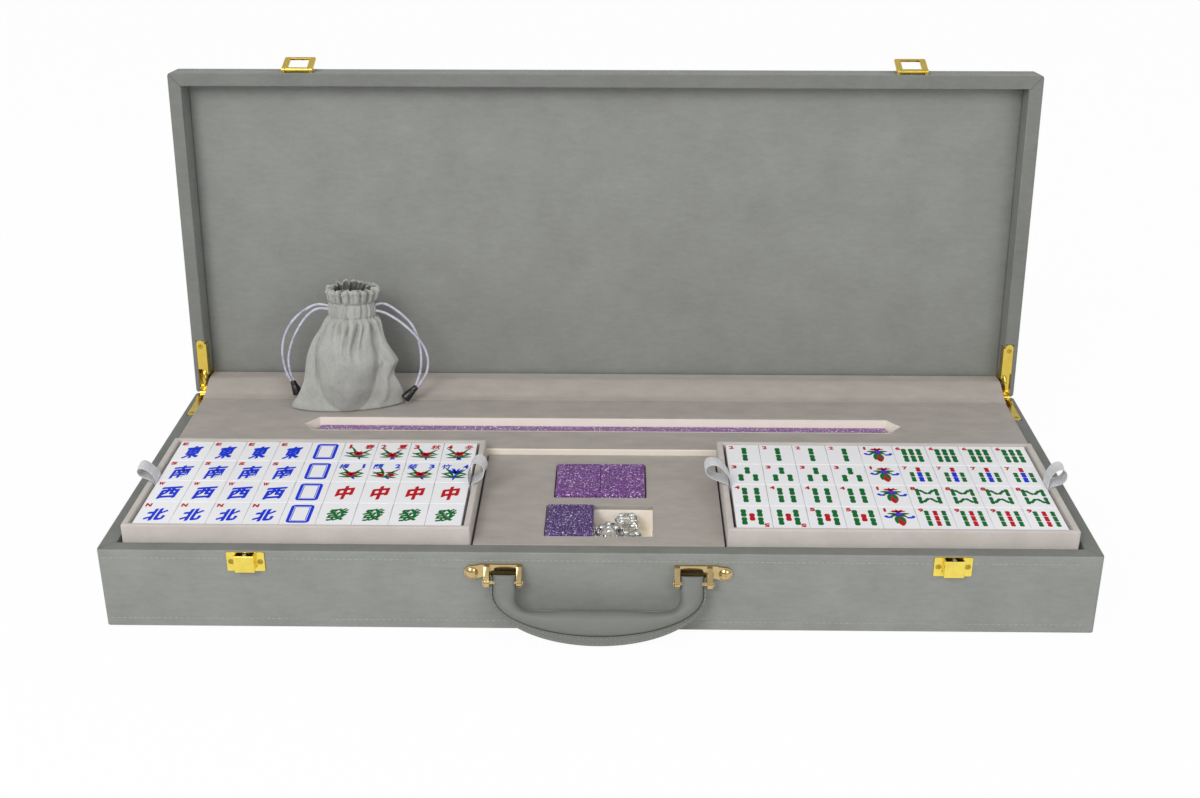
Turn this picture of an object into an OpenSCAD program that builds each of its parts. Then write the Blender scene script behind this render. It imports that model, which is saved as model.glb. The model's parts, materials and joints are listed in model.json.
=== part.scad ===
// Wrapped wooden case for a mahjong set, standing with its lid open.
// Origin at the middle of the underside, +X along the case, +Y to the hinges, +Z up.

/* [Case] */
// Width of the case along the hinge line
case_w = 750; // [700:1:920]
// Depth of the case from the front face to the hinge face
case_d = 290; // [280:1:360]
// Height of the base from underside to rim
base_h = 66; // [60:0.5:80]
// Height of the lid from rim to top
lid_h = 29.5; // [28:0.5:40]
// Thickness of the wrapped walls
wall_t = 11.6; // [10:0.2:14]
// Radius of the upright corners
corner_r = 3; // [1:0.5:6]
// Thickness of the bottom board
bottom_t = 6; // [4:0.5:8]
// Thickness of the lid's top board
lid_top_t = 6.3; // [4:0.1:8]
// Thickness of the padded panel inside the lid
lid_panel_t = 3; // [2:0.5:5]
// Gap between the two rims when the lid is shut
rim_gap = 0.3; // [0.2:0.1:1]
// Angle by which the open lid leans back past upright
lid_lean = 4.55; // [0:0.05:8]

/* [Tiles and trays] */
// Width of a tile
tile_w = 27.4; // [24:0.1:33]
// Length of a tile
tile_l = 35.75; // [30:0.05:43]
// Thickness of a tile
tile_t = 22.6; // [18:0.1:27.5]
// Chamfer on a tile's edges
tile_chamfer = 1.2; // [0.5:0.1:2]
// Gap between neighbouring tiles
tile_gap = 0.2; // [0.1:0.05:0.5]
// Tiles in a row of a tray
tile_columns = 9; // [9:1:9]
// Rows of tiles in a tray
tile_rows = 4; // [4:1:4]
// Height of the upper tray's rim over the case rim
tray_rise = 14; // [10:0.5:15]
// Thickness of a tray's floor
tray_floor_t = 3.8; // [3:0.1:6]
// Thickness of a tray's end walls
tray_end_t = 5; // [4:0.5:7]
// Thickness of a tray's front and rear walls
tray_side_t = 3.9; // [3:0.1:5]
// Depth of the tile faces below the tray's rim
tile_drop = 1.4; // [1.2:0.1:3]
// Slit for the ribbon between the tiles and a tray's end wall
ribbon_slit = 2.1; // [1.5:0.1:3]
// Width of a ribbon pull
ribbon_w = 17; // [12:1:20]
// Thickness of a ribbon pull
ribbon_t = 0.8; // [0.5:0.1:1]

/* [Deck, slot and racks] */
// Height of the rear deck over the case rim
deck_rise = 5.2; // [3:0.1:8]
// Thickness of the deck and insert boards
board_t = 4; // [3:0.5:6]
// Width of the rack slot
slot_w = 28; // [26:0.5:34]
// Length of the rack slot's straight sides
slot_l = 498; // [480:1:520]
// Length of the pointed notch at each end of the slot
slot_tip = 11.4; // [9:0.2:14]
// Distance of the slot's middle line from the deck's rear edge
slot_to_rear = 63.3; // [55:0.1:80]
// Thickness of the cream liners
liner_t = 1.2; // [1:0.1:2]
// Height of a tile rack
rack_h = 14.1; // [12:0.1:14.5]

/* [Centre insert] */
// Depth of the tile well's middle line behind the front wall
well_y = 105.6; // [100:0.1:120]
// Height of the spare tiles' backs over the rim
spare_rise = 1.9; // [1:0.1:4]
// Distance of the pocket's middle line from the front wall
pocket_y = 39; // [34:0.1:42]
// Depth of the pocket below the rim
pocket_depth = 21.5; // [19:0.5:30]
// Width of the dealer block
dealer_w = 36.8; // [30:0.1:45]
// Height of the dealer block over the rim
dealer_rise = 1.6; // [0:0.1:3]
// Edge of a die
die_s = 17; // [14:0.5:21]

/* [Hinges] */
// Length of a hinge leaf
leaf_l = 50; // [40:1:60]
// Width of a hinge leaf
leaf_w = 7.4; // [7:0.2:8]
// Thickness of hinge metal
leaf_t = 1.2; // [1:0.1:1.5]
// Radius of the hinge pin
hinge_pin_r = 1.2; // [1:0.1:1.4]
// Radius of the hinge knuckle
knuckle_r = 2.6; // [2.4:0.1:3]
// Height of the support lugs
lug_h = 2.4; // [1.5:0.1:2.6]

/* [Latches] */
// Distance of each latch from the middle of the case
latch_x = 263.3; // [220:0.1:300]
// Width of the catch plate
catch_w = 28.4; // [27:0.2:32]
// Height of the catch plate
catch_h = 15.8; // [15:0.2:18]
// Width of the sprung nose
nose_w = 15.2; // [14:0.2:15.4]
// Depth of the nose in front of the plate
nose_d = 5.7; // [5:0.1:7]
// Travel of the sprung nose
nose_travel = 2; // [1.6:0.1:2.2]
// Width of the hasp frame
hasp_w = 26.8; // [26:0.2:30]
// Reach of the hasp frame from its pin
hasp_l = 20.4; // [20:0.1:21]
// Thickness of the hasp frame
hasp_t = 1.8; // [1.5:0.1:2]
// Angle by which the resting hasp stands off the lid
hasp_rest = 22; // [10:1:35]

/* [Handle] */
// Distance of each handle bracket from the middle of the case
bracket_x = 70.9; // [68:0.1:90]
// Height of the handle pin above the underside
handle_pin_z = 45.3; // [44:0.1:50]
// Distance of the handle pin in front of the case
handle_pin_out = 8.5; // [8:0.1:10]
// Radius of the handle pin
handle_pin_r = 1.6; // [1.4:0.1:2]
// Width of the leather tab in a bracket
tab_w = 19.4; // [17:0.2:19.6]
// Reach of the handle from its pin
handle_reach = 47.2; // [40:0.2:47.2]
// Forward tilt of the resting handle
handle_tilt = 24; // [23:1:40]

/* [Bag] */
// Width of the bag's foot
bag_w = 96; // [80:1:110]
// Height of the bag to the top of its frill
bag_h = 111; // [100:1:113]
// Thickness of a drawcord
cord_d = 2.4; // [2:0.1:3]

/* [Hidden] */
$fn = 48;

// Fits and small clearances
fit = 0.2;
soft_gap = 0.4;
shank_gap = 0.05;
pin_press_gap = 0.02;
nick = 1;

// Places in the case
inner_w = case_w - 2 * wall_t;
inner_d = case_d - 2 * wall_t;
front_y = -case_d / 2;
rear_y = case_d / 2;
lid_z = base_h + rim_gap;
pivot_y = rear_y;
pivot_z = base_h + rim_gap / 2;
open_angle = 90 + lid_lean;
lid_inner_z = lid_z + lid_h - lid_top_t;

// Tile field and trays
pitch_x = tile_w + tile_gap;
pitch_y = tile_l + tile_gap;
field_w = tile_columns * pitch_x;
field_d = tile_rows * pitch_y;
tray_w = field_w + 2 * (ribbon_slit + tray_end_t);
tray_d = field_d + 2 * (fit + tray_side_t);
tray_h = tray_floor_t + tile_t + tile_drop;
tray_wall_gap = 4.4;
tray_front_gap = 1;
tray_x = inner_w / 2 - tray_wall_gap - tray_w / 2;
tray_y = front_y + wall_t + tray_front_gap + tray_d / 2;
upper_tray_z = base_h + tray_rise - tray_h;
lower_tray_z = upper_tray_z - tray_h;

// Deck, slot and racks
deck_z = base_h + deck_rise;
deck_front_y = tray_y + tray_d / 2 + 0.6;
deck_rear_y = rear_y - wall_t - 0.5;
deck_w = inner_w - 3;
deck_skirt_t = 3;
slot_y = deck_rear_y - slot_to_rear;
slot_inner_w = slot_w - 2 * (fit + liner_t);
rack_w = slot_inner_w - 0.6;
rack_l = slot_l - 1.4;
rack_gap = 0.1;
rack_floor_z = bottom_t + liner_t + rack_gap;
rack_base_t = 4;
rack_rib_t = 6;
rack_lip_t = 2.4;
rack_lip_h = 4;

// Centre insert
insert_gap = 1.7;
insert_w = 2 * (tray_x - tray_w / 2 - insert_gap);
insert_front_y = front_y + wall_t + 0.5;
insert_rear_y = deck_front_y - 0.3;
insert_skirt_t = 2;
spare_w = 2 * pitch_y;
spare_d = 2 * pitch_x;
pocket_w = 2 * soft_gap + dealer_w + 2.682 * die_s;
pocket_d = 2 * die_s + 15.2;
well_w = spare_w + 1.6;
well_d = spare_d + 1.6;
well_cy = front_y + wall_t + well_y;
pocket_cy = front_y + wall_t + pocket_y;
spare_z = base_h + spare_rise - tile_t;
pocket_floor_z = base_h - pocket_depth;
dealer_d = pocket_d - 2 * soft_gap;
dealer_x = -pocket_w / 2 + soft_gap + dealer_w / 2;
dealer_edge_r = 1;

// Hinges
leaf_x = inner_w / 2 + 0.2;
leaf_relief = knuckle_r + 0.9;
knuckle_side = 2.1;
knuckle_mid_gap = 0.1;
lug_w = 3;
lug_foot = leaf_relief + 2.5;
lug_head = lug_foot + 15;
lug_slot = [lug_foot - 1, lug_head + 1.4];
lug_inner_x = leaf_x + 0.4;
lug_outer_x = leaf_x + leaf_w - 0.4 - lug_w;
flange_h = 10;
flange_from = 18;
leaf_screw_at = 44;
flange_screw_at = 34;
screw_head_r = 2.2;
screw_head_h = 1.1;
screw_shank_r = 1.2;
screw_shank_l = 9;

// Latches
catch_top_z = base_h - 1;
catch_t = 1.2;
catch_screw_x = 10.9;
nose_wall = 1.2;
nose_gap = 0.3;
nose_top_z = base_h - 1.4;
hasp_gap = 0.5;
hasp_mid_y = front_y - catch_t - hasp_gap - hasp_t / 2;
hasp_pin_z = lid_z + 3.2;
hasp_pin_r = 1;
hasp_barrel_r = 1.9;
hasp_foot_z = hasp_pin_z - hasp_l;
hasp_bar = 2.5;
window_w = nose_w + 1.2;
window_top_z = lid_z + 0.6;
nose_foot_z = hasp_foot_z + hasp_bar + soft_gap;
nose_front_y = front_y - catch_t - nose_d;
lip_t = 2.6;
lip_drop = 1.6;
spring_r = 1.5;
spring_y = (front_y - catch_t - nose_gap + nose_front_y + nose_wall) / 2;
hasp_plate_w = 26.4;
hasp_plate_t = 1;
hasp_plate_top_z = lid_z + 20;
hasp_knuckle_w = 2.8;
hasp_screw_z = lid_z + 13.5;

// Handle
handle_pin_y = front_y - handle_pin_out;
bracket_t = 2;
bracket_top_z = handle_pin_z + 11.2;
bracket_foot_z = handle_pin_z + 1.2;
ear_t = 4;
ear_r = 3.9;
ear_gap = 0.4;
rivet_x = 23.8;
rivet_z = handle_pin_z + 4.2;
rivet_lobe_r = 5.6;
rivet_dome_r = 5.2;
rivet_dome_h = 2.6;
rivet_shank_r = 1.8;
grip_half = bracket_x + tab_w / 2;
grip_arm_w = tab_w;
grip_shoulder = 8;
seam_half = grip_half - 2.4;
seam_reach = handle_reach - 8.2;
grip_inner_reach = 20.2;
grip_inner_r = 10;
reach_up = 20;
grip_front = 8.6;
grip_back = 0.4;
backing_t = 2.8;
tab_half_t = 3.2;

// Bag, cords and cloth
bag_x = -229;
bag_foot_r = 14;
bag_foot_y = deck_rear_y - 28.4;
bag_z = deck_z + soft_gap;
bag_neck_x = bag_x + 6;
bag_neck_y = bag_foot_y + 20;
bag_neck_z = bag_z + 79;
bag_neck_r = 13;
bag_neck_half = 5;
bag_frill_r = 16;
cord_sides = 8;
cloth_t = 1.4;
cloth_from = 13.9;
cloth_crest_z = 13.2;

// Hand-chosen routes of the drawcords, from the bag's neck to the cord ends, for a deck edge at deck_rear_y
CORD_ORIGIN = [0, 132.9, 71.2];
ROUTE_LEFT_OUTER = [
    [-242.6, 126, 159], [-249, 127, 160], [-255, 127, 159.4], [-262, 127, 156], [-269, 127, 151], [-276, 126, 144],
    [-281.4, 126, 135.6], [-285.2, 126, 126], [-287, 125, 115], [-286.4, 125, 104], [-284.4, 124, 95],
    [-281, 122.8, 88.4]
];
ROUTE_LEFT_INNER = [
    [-242.2, 124, 154.8], [-248, 124, 155], [-254, 124, 153.6], [-260, 124, 150], [-265.6, 124, 145], [-270.4, 123, 138.6],
    [-275.2, 123, 130], [-279, 122.6, 120], [-281.2, 122, 110], [-281.2, 121.6, 101], [-279.8, 121.4, 94],
    [-277.8, 121.4, 89.4]
];
ROUTE_RIGHT_OUTER = [
    [-203.5, 127, 159], [-197, 128, 160.6], [-191, 128, 159.6], [-184, 127, 155.6], [-176.6, 126, 149],
    [-169, 125, 140], [-162, 124, 129], [-157.4, 122, 118], [-156, 120, 108], [-157.6, 118, 99], [-160.8, 116, 92.4],
    [-165.6, 114, 87.1]
];
ROUTE_RIGHT_INNER = [
    [-203.9, 124, 154.4], [-198, 125, 154], [-191.6, 125, 151.6], [-185, 124, 147.4], [-178, 123, 141.4],
    [-171, 122, 133.6], [-165.4, 121, 125.6], [-161.8, 119, 117], [-161, 117, 108.6], [-162.6, 114.8, 100.6],
    [-165.2, 112.8, 94.6], [-168, 111.2, 89.8]
];
// Each cord end: top point, bottom point
CORD_END_LEFT = [[-279.5, 122.2, 88.2], [-275.2, 121, 76.2]];
CORD_END_RIGHT = [[-166.6, 112.6, 87.4], [-177.2, 109.6, 77]];
cord_end_r = [2.6, 4.6];

// Shared helpers

module round_rect(w, d, r) {
    square([w - 2 * r, d], center = true);
    square([w, d - 2 * r], center = true);
    for (x = [-1, 1], y = [-1, 1]) {
        translate([x * (w / 2 - r), y * (d / 2 - r)]) circle(r);
    }
}

// Draws a right-hand piece as it is, or its mirror image on the left
module on_side(side) {
    if (side < 0) {
        mirror([1, 0, 0]) children();
    } else {
        children();
    }
}

module both_sides() {
    children();
    mirror([1, 0, 0]) children();
}

// Box between two corners
module block(low, high) {
    translate(low) cube(high - low);
}

// Cylinder along X from x0 to x1 around the line y, z
module rod_x(x0, x1, y, z, r) {
    translate([x0, y, z]) rotate([0, 90, 0]) cylinder(h = x1 - x0, r = r);
}

// Outline in Y and Z drawn out along X from x0 to x1
module profile_x(x0, x1) {
    translate([x0, 0, 0]) rotate([90, 0, 90]) linear_extrude(x1 - x0) children();
}

// Countersunk screw with its face at z = 0 and its shank towards -z
module screw(head_r, head_h, shank_r, shank_l) {
    difference() {
        union() {
            translate([0, 0, -head_h]) cylinder(h = head_h, r1 = shank_r, r2 = head_r);
            translate([0, 0, -shank_l]) cylinder(h = shank_l, r = shank_r);
        }
        for (a = [0, 90]) {
            rotate([0, 0, a]) block([-head_r * 0.6, -0.25, -0.5], [head_r * 0.6, 0.25, nick]);
        }
    }
}

module small_screw() {
    screw(screw_head_r, screw_head_h, screw_shank_r, screw_shank_l);
}

// Hole that such a screw sits in, as a tool for cutting
module small_screw_hole() {
    gap = shank_gap;
    translate([0, 0, -screw_head_h]) {
        cylinder(h = screw_head_h + gap, r1 = screw_shank_r + gap, r2 = screw_head_r + 2 * gap);
    }
    translate([0, 0, -screw_shank_l - nick]) cylinder(h = screw_shank_l + 2 * nick, r = screw_shank_r + gap);
}

// Turns a piece drawn on the shut lid to the open position
module opened() {
    translate([0, pivot_y, pivot_z]) rotate([-open_angle, 0, 0]) translate([0, -pivot_y, -pivot_z]) children();
}

// Places of the screws, each with its axis out of the surface it sits in

module at_base_leaf_screw() {
    translate([leaf_x + leaf_w / 2, pivot_y - leaf_screw_at, base_h]) children();
}

module at_lid_leaf_screw() {
    translate([leaf_x + leaf_w / 2, pivot_y - leaf_screw_at, lid_z]) rotate([180, 0, 0]) children();
}

module at_lid_flange_screw() {
    translate([inner_w / 2 - leaf_t, pivot_y - flange_screw_at, lid_z + flange_h / 2 + leaf_t]) {
        rotate([0, -90, 0]) children();
    }
}

module at_catch_screws() {
    for (x = [-1, 1]) {
        translate([latch_x + x * catch_screw_x, front_y - catch_t, catch_top_z - catch_h / 2]) {
            rotate([90, 0, 0]) children();
        }
    }
}

module at_hasp_screw() {
    translate([latch_x, front_y - hasp_plate_t, hasp_screw_z]) rotate([90, 0, 0]) children();
}

module at_rivet() {
    translate([bracket_x + rivet_x, front_y - bracket_t, rivet_z]) rotate([90, 0, 0]) children();
}

// Case, base

module knuckle_pocket() {
    rod_x(inner_w / 2 - nick, leaf_x + leaf_w + fit, pivot_y, pivot_z, knuckle_r + 0.5);
}

module base_hinge_cuts() {
    block(
        [inner_w / 2 - nick, pivot_y - leaf_l - fit, base_h - leaf_t],
        [leaf_x + leaf_w + fit, pivot_y + nick, base_h + nick]
    );
    block(
        [leaf_x, pivot_y - lug_slot[1], base_h - lug_h - 0.5],
        [leaf_x + lug_w + 0.8, pivot_y - lug_slot[0], base_h]
    );
    knuckle_pocket();
    at_base_leaf_screw() small_screw_hole();
}

module base_frame() {
    color("#888b85") difference() {
        linear_extrude(base_h) difference() {
            round_rect(case_w, case_d, corner_r);
            square([inner_w, inner_d], center = true);
        }
        translate([0, 0, -nick]) linear_extrude(bottom_t + nick) {
            square([inner_w + wall_t, inner_d + wall_t], center = true);
        }
        both_sides() {
            base_hinge_cuts();
            at_catch_screws() small_screw_hole();
            at_rivet() cylinder(h = 24, r = rivet_shank_r + shank_gap, center = true);
        }
    }
}

module base_bottom() {
    color("#7f827c") linear_extrude(bottom_t) {
        square([inner_w + wall_t - 2 * fit, inner_d + wall_t - 2 * fit], center = true);
    }
}

module riser_pads() {
    color("#3c3c3c") both_sides() {
        translate([tray_x, tray_y, bottom_t]) linear_extrude(lower_tray_z - bottom_t) {
            round_rect(tray_w - 2, tray_d - 2, 2);
        }
    }
}

// Rear deck with the rack slot

module slot_outline(width, length, tip) {
    polygon([
        [-length / 2, -width / 2], [length / 2, -width / 2], [length / 2 + tip, 0],
        [length / 2, width / 2], [-length / 2, width / 2], [-length / 2 - tip, 0]
    ]);
}

module rear_deck() {
    low = [-deck_w / 2, deck_front_y, bottom_t];
    high = [deck_w / 2, deck_rear_y, deck_z];
    skirt = [deck_skirt_t, deck_skirt_t, 0];
    color("#a39c95") difference() {
        block(low, high);
        block(low + skirt - [0, 0, nick], high - skirt - [0, 0, board_t]);
        translate([0, slot_y, deck_z - board_t - nick]) linear_extrude(board_t + 2 * nick) {
            slot_outline(slot_w, slot_l, slot_tip);
        }
    }
}

module rack_slot_liner() {
    width = slot_w - 2 * fit;
    tip = slot_tip - fit;
    color("#e6ddd0") translate([0, slot_y, bottom_t]) difference() {
        linear_extrude(deck_z - bottom_t - fit) slot_outline(width, slot_l, tip);
        translate([0, 0, liner_t]) linear_extrude(deck_z) {
            slot_outline(slot_inner_w, slot_l - liner_t / 2, tip - liner_t);
        }
    }
}

// A rack lies face down: its flat back is on top, its rib and lip stand on the rack below
module rack(level) {
    z = rack_floor_z + level * (rack_h + rack_gap);
    half = rack_w / 2;
    top = rack_h - rack_base_t;
    color("#7a4a90") translate([0, slot_y, z]) profile_x(-rack_l / 2, rack_l / 2) polygon([
        [-half, top - rack_lip_h], [-half + rack_lip_t, top - rack_lip_h], [-half + rack_lip_t, top],
        [half - rack_rib_t, top], [half - rack_rib_t, 0], [half, 0], [half, rack_h - 1], [half - 1, rack_h],
        [-half + 1, rack_h], [-half, rack_h - 1]
    ]);
}

// Centre insert with its two wells

module centre_insert() {
    low = [-insert_w / 2, insert_front_y, bottom_t];
    high = [insert_w / 2, insert_rear_y, base_h];
    skirt = [insert_skirt_t, insert_skirt_t, 0];
    color("#a8a199") difference() {
        block(low, high);
        block(low + skirt - [0, 0, nick], high - skirt - [0, 0, board_t]);
        block([-well_w / 2, well_cy - well_d / 2, 0], [well_w / 2, well_cy + well_d / 2, base_h + nick]);
        block(
            [-pocket_w / 2, pocket_cy - pocket_d / 2, 0],
            [pocket_w / 2, pocket_cy + pocket_d / 2, base_h + nick]
        );
    }
}

// Open box of liner board from the bottom board to the underside of the insert's top, with a raised floor
module liner_box(w, d, cy, floor_z) {
    t = [liner_t, liner_t, 0];
    low = [-w / 2, cy - d / 2, bottom_t];
    high = [w / 2, cy + d / 2, base_h - board_t];
    color("#e6ddd0") difference() {
        block(low - t, high + t);
        block([low[0], low[1], floor_z], high + [0, 0, nick]);
        block(low - [0, 0, nick], [high[0], high[1], floor_z - liner_t]);
    }
}

module spare_tile_well() {
    liner_box(well_w, well_d, well_cy, spare_z - 0.1);
}

module dice_well() {
    liner_box(pocket_w, pocket_d, pocket_cy, pocket_floor_z);
}

// Tiles and trays

// Tile with chamfered edges, standing on z = 0 with one corner of its pitch at the origin
module tile(w, l) {
    c = tile_chamfer;
    translate([tile_gap / 2, tile_gap / 2, 0]) intersection() {
        linear_extrude(tile_t) polygon([
            [c, 0], [w - c, 0], [w, c], [w, l - c], [w - c, l], [c, l], [0, l - c], [0, c]
        ]);
        profile_x(-nick, w + nick) polygon([
            [c, 0], [l - c, 0], [l, c], [l, tile_t - c], [l - c, tile_t], [c, tile_t], [0, tile_t - c], [0, c]
        ]);
    }
}

module tile_block(x, z) {
    color("#f2f2f4") translate([x - field_w / 2, tray_y - field_d / 2, z]) {
        for (column = [0 : tile_columns - 1], row = [0 : tile_rows - 1]) {
            translate([column * pitch_x, row * pitch_y, 0]) tile(tile_w, tile_l);
        }
    }
}

module spare_tiles() {
    color("#7a4a90") translate([-spare_w / 2, well_cy - spare_d / 2, spare_z]) {
        for (column = [0, 1], row = [0, 1]) {
            translate([column * pitch_y, row * pitch_x, 0]) tile(tile_l, tile_w);
        }
    }
}

module tray(x, z) {
    slit_w = field_w + 2 * ribbon_slit;
    color("#b3aca4") translate([x, tray_y, z]) difference() {
        linear_extrude(tray_h) round_rect(tray_w, tray_d, 1.5);
        translate([0, 0, tray_floor_t]) linear_extrude(tray_h) square([slit_w, field_d + 2 * fit], center = true);
    }
}

// Ribbon laid flat over the tiles of a lower tray, with its tail down the slit
module folded_ribbon(x, z) {
    slit_x = x - field_w / 2 - ribbon_slit;
    top = z + tray_h;
    low = top - tile_drop + 0.15;
    color("#bdbcc2") profile_y(tray_y - ribbon_w / 2, tray_y + ribbon_w / 2) polygon([
        [slit_x + 0.5, low - 12], [slit_x + 0.5 + ribbon_t, low - 12], [slit_x + 0.5 + ribbon_t, low],
        [slit_x + 24, low], [slit_x + 24, low + ribbon_t], [slit_x + 0.5, low + ribbon_t]
    ]);
}

// Outline in X and Z drawn out along Y from y0 to y1
module profile_y(y0, y1) {
    translate([0, y1, 0]) rotate([90, 0, 0]) linear_extrude(y1 - y0) children();
}

// Points of a ribbon loop: up out of the slit, round in an open teardrop and back to the slit.
// side is -1 where the loop falls to the left, lean is how far it falls over the wall.
function loop_path(foot_x, rim_z, side, lean, rise, radius) = concat(
    [[foot_x, rim_z - 10], [foot_x, rim_z + 0.6]],
    [for (a = [150 : -30 : -120]) [foot_x - side * -lean + side * radius * cos(a), rim_z + rise + radius * sin(a)]],
    [[foot_x + side * 1.6, rim_z + 0.9]]
);

function unit2(v) = v / norm(v);
function side_step(path, i) = let(
    before = path[max(i - 1, 0)],
    after = path[min(i + 1, len(path) - 1)],
    d = unit2(after - before)
) [-d[1], d[0]];

// Strip of ribbon_t thickness along a path of points
module ribbon_strip(path) {
    last = len(path) - 1;
    polygon(concat(
        [for (i = [0 : last]) path[i] + side_step(path, i) * ribbon_t / 2],
        [for (i = [last : -1 : 0]) path[i] - side_step(path, i) * ribbon_t / 2]
    ));
}

// Standing loop at one end of an upper tray: end is -1 at its left, side is the way that it falls
module standing_ribbon(x, z, end, side, lean, rise, radius, y) {
    foot_x = x + end * (field_w / 2 + ribbon_slit / 2);
    color("#bdbcc2") profile_y(tray_y + y - ribbon_w / 2, tray_y + y + ribbon_w / 2) {
        ribbon_strip(loop_path(foot_x, z + tray_h, side, lean, rise, radius));
    }
}

module ribbons_lower(side) {
    on_side(side) {
        folded_ribbon(tray_x, lower_tray_z);
        translate([2 * tray_x, 0, 0]) mirror([1, 0, 0]) folded_ribbon(tray_x, lower_tray_z);
    }
}

module ribbons_upper_left() {
    standing_ribbon(-tray_x, upper_tray_z, -1, -1, 16, 7, 5, 4);
    standing_ribbon(-tray_x, upper_tray_z, 1, 1, 5, 9, 6, 2);
}

module ribbons_upper_right() {
    standing_ribbon(tray_x, upper_tray_z, -1, -1, 13, 7, 5, 5);
    standing_ribbon(tray_x, upper_tray_z, 1, 1, 12, 7, 5, 4);
}

// Loose pieces of the centre insert

module dealer_block() {
    height = pocket_depth + dealer_rise - 0.1;
    color("#4d2f70") translate([dealer_x, pocket_cy, pocket_floor_z + 0.1]) {
        linear_extrude(height) round_rect(dealer_w, dealer_d, dealer_edge_r);
    }
}

module die() {
    intersection() {
        cube(die_s, center = true);
        sphere(die_s * 0.66);
    }
}

// Dice: place from the right-hand rear corner of the pocket, in edges of a die, and turn
DICE = [
    [[1.19, 0.64], 3],
    [[1.02, 2.27], -6],
    [[2.02, 1.54], 45]
];

module dice() {
    color("#dfe3e6") for (d = DICE) {
        corner = [pocket_w / 2, pocket_cy + pocket_d / 2, pocket_floor_z + die_s / 2 + 0.1];
        translate(corner - [d[0][0], d[0][1], 0] * die_s) rotate([0, 0, d[1]]) die();
    }
}

// Cloth strip from the deck over the rear rim and into the lid
module hinge_cloth() {
    y0 = deck_rear_y - cloth_from;
    y1 = rear_y + 1.6;
    z0 = deck_z + soft_gap;
    z1 = pivot_z + cloth_crest_z;
    path = [
        [y0, z0], [y0 + 13, z0 + 3.2], [y1 - 2, z1 - 0.6], [y1 + 1.4, z1 + 0.3], [y1 + 5, z1 + 0.1],
        [y1 + 17, z1 - 0.9]
    ];
    last = len(path) - 1;
    color("#b0a9a1") profile_x(-deck_w / 2, deck_w / 2) polygon(concat(
        path, [for (i = [last : -1 : 0]) path[i] + side_step(path, i) * cloth_t]
    ));
}

// Hinges, drawn on the right-hand side

module leaf_outline(cut_from, cut_to, cut_x) {
    end = leaf_w / 2;
    difference() {
        union() {
            translate([leaf_x, pivot_y - leaf_l + end]) square([leaf_w, leaf_l - end - leaf_relief]);
            translate([leaf_x + end, pivot_y - leaf_l + end]) circle(end);
        }
        translate([cut_x, pivot_y - cut_to]) square([lug_w + 0.8, cut_to - cut_from]);
    }
}

module lug(x) {
    middle = (lug_foot + lug_head) / 2;
    profile_x(x, x + lug_w) polygon([
        [-lug_head, 0], [-middle - 2, lug_h], [-middle + 2, lug_h], [-lug_foot, 0]
    ]);
}

// Barrel with the tongue that joins it to the leaf; up is 1 where the leaf lies above the pin
module barrel(x0, x1, leaf_z) {
    block([x0, pivot_y - leaf_relief - nick, leaf_z], [x1, pivot_y - 1.4, leaf_z + leaf_t]);
    rod_x(x0, x1, pivot_y, pivot_z, knuckle_r);
}

module base_leaf() {
    z = base_h - leaf_t;
    color("#e0b43c") difference() {
        union() {
            translate([0, 0, z]) linear_extrude(leaf_t) leaf_outline(lug_slot[0], lug_slot[1], leaf_x);
            barrel(leaf_x, leaf_x + knuckle_side, z);
            barrel(leaf_x + leaf_w - knuckle_side, leaf_x + leaf_w, z);
            translate([0, pivot_y, base_h]) lug(lug_outer_x);
        }
        rod_x(leaf_x - nick, leaf_x + leaf_w + nick, pivot_y, pivot_z, hinge_pin_r + pin_press_gap);
        at_base_leaf_screw() small_screw_hole();
    }
}

module lid_leaf() {
    mid_from = leaf_x + knuckle_side + knuckle_mid_gap;
    mid_to = leaf_x + leaf_w - knuckle_side - knuckle_mid_gap;
    color("#e0b43c") opened() difference() {
        union() {
            translate([0, 0, lid_z]) linear_extrude(leaf_t) {
                leaf_outline(lug_slot[0], lug_slot[1], lug_outer_x - 0.4);
            }
            barrel(mid_from, mid_to, lid_z);
            translate([0, pivot_y, lid_z]) mirror([0, 0, 1]) lug(lug_inner_x);
            block(
                [inner_w / 2 - leaf_t, pivot_y - leaf_l + leaf_w / 2, lid_z],
                [inner_w / 2 - 0.05, pivot_y - flange_from, lid_z + flange_h]
            );
            block(
                [inner_w / 2 - leaf_t, pivot_y - leaf_l + leaf_w / 2, lid_z],
                [leaf_x + nick, pivot_y - lug_slot[1], lid_z + leaf_t]
            );
        }
        rod_x(leaf_x - nick, leaf_x + leaf_w + nick, pivot_y, pivot_z, hinge_pin_r + shank_gap);
        at_lid_leaf_screw() small_screw_hole();
        at_lid_flange_screw() small_screw_hole();
    }
}

module hinge_pins() {
    color("#c8a034") both_sides() {
        rod_x(leaf_x + 0.1, leaf_x + leaf_w - 0.1, pivot_y, pivot_z, hinge_pin_r);
    }
}

module hinge_screws_base() {
    color("#d8ac3a") both_sides() at_base_leaf_screw() small_screw();
}

module hinge_screws_lid() {
    color("#d8ac3a") opened() both_sides() {
        at_lid_leaf_screw() small_screw();
        at_lid_flange_screw() small_screw();
    }
}

// Case, lid, drawn shut and turned open

module lid_hinge_cuts() {
    block(
        [inner_w / 2 - nick, pivot_y - leaf_l - fit, lid_z - nick],
        [leaf_x + leaf_w + fit, pivot_y + nick, lid_z + leaf_t]
    );
    block(
        [lug_outer_x - 0.4, pivot_y - lug_slot[1], lid_z],
        [lug_outer_x + lug_w + 0.4, pivot_y - lug_slot[0], lid_z + lug_h + 0.5]
    );
    knuckle_pocket();
    at_lid_leaf_screw() small_screw_hole();
    at_lid_flange_screw() small_screw_hole();
}

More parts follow.
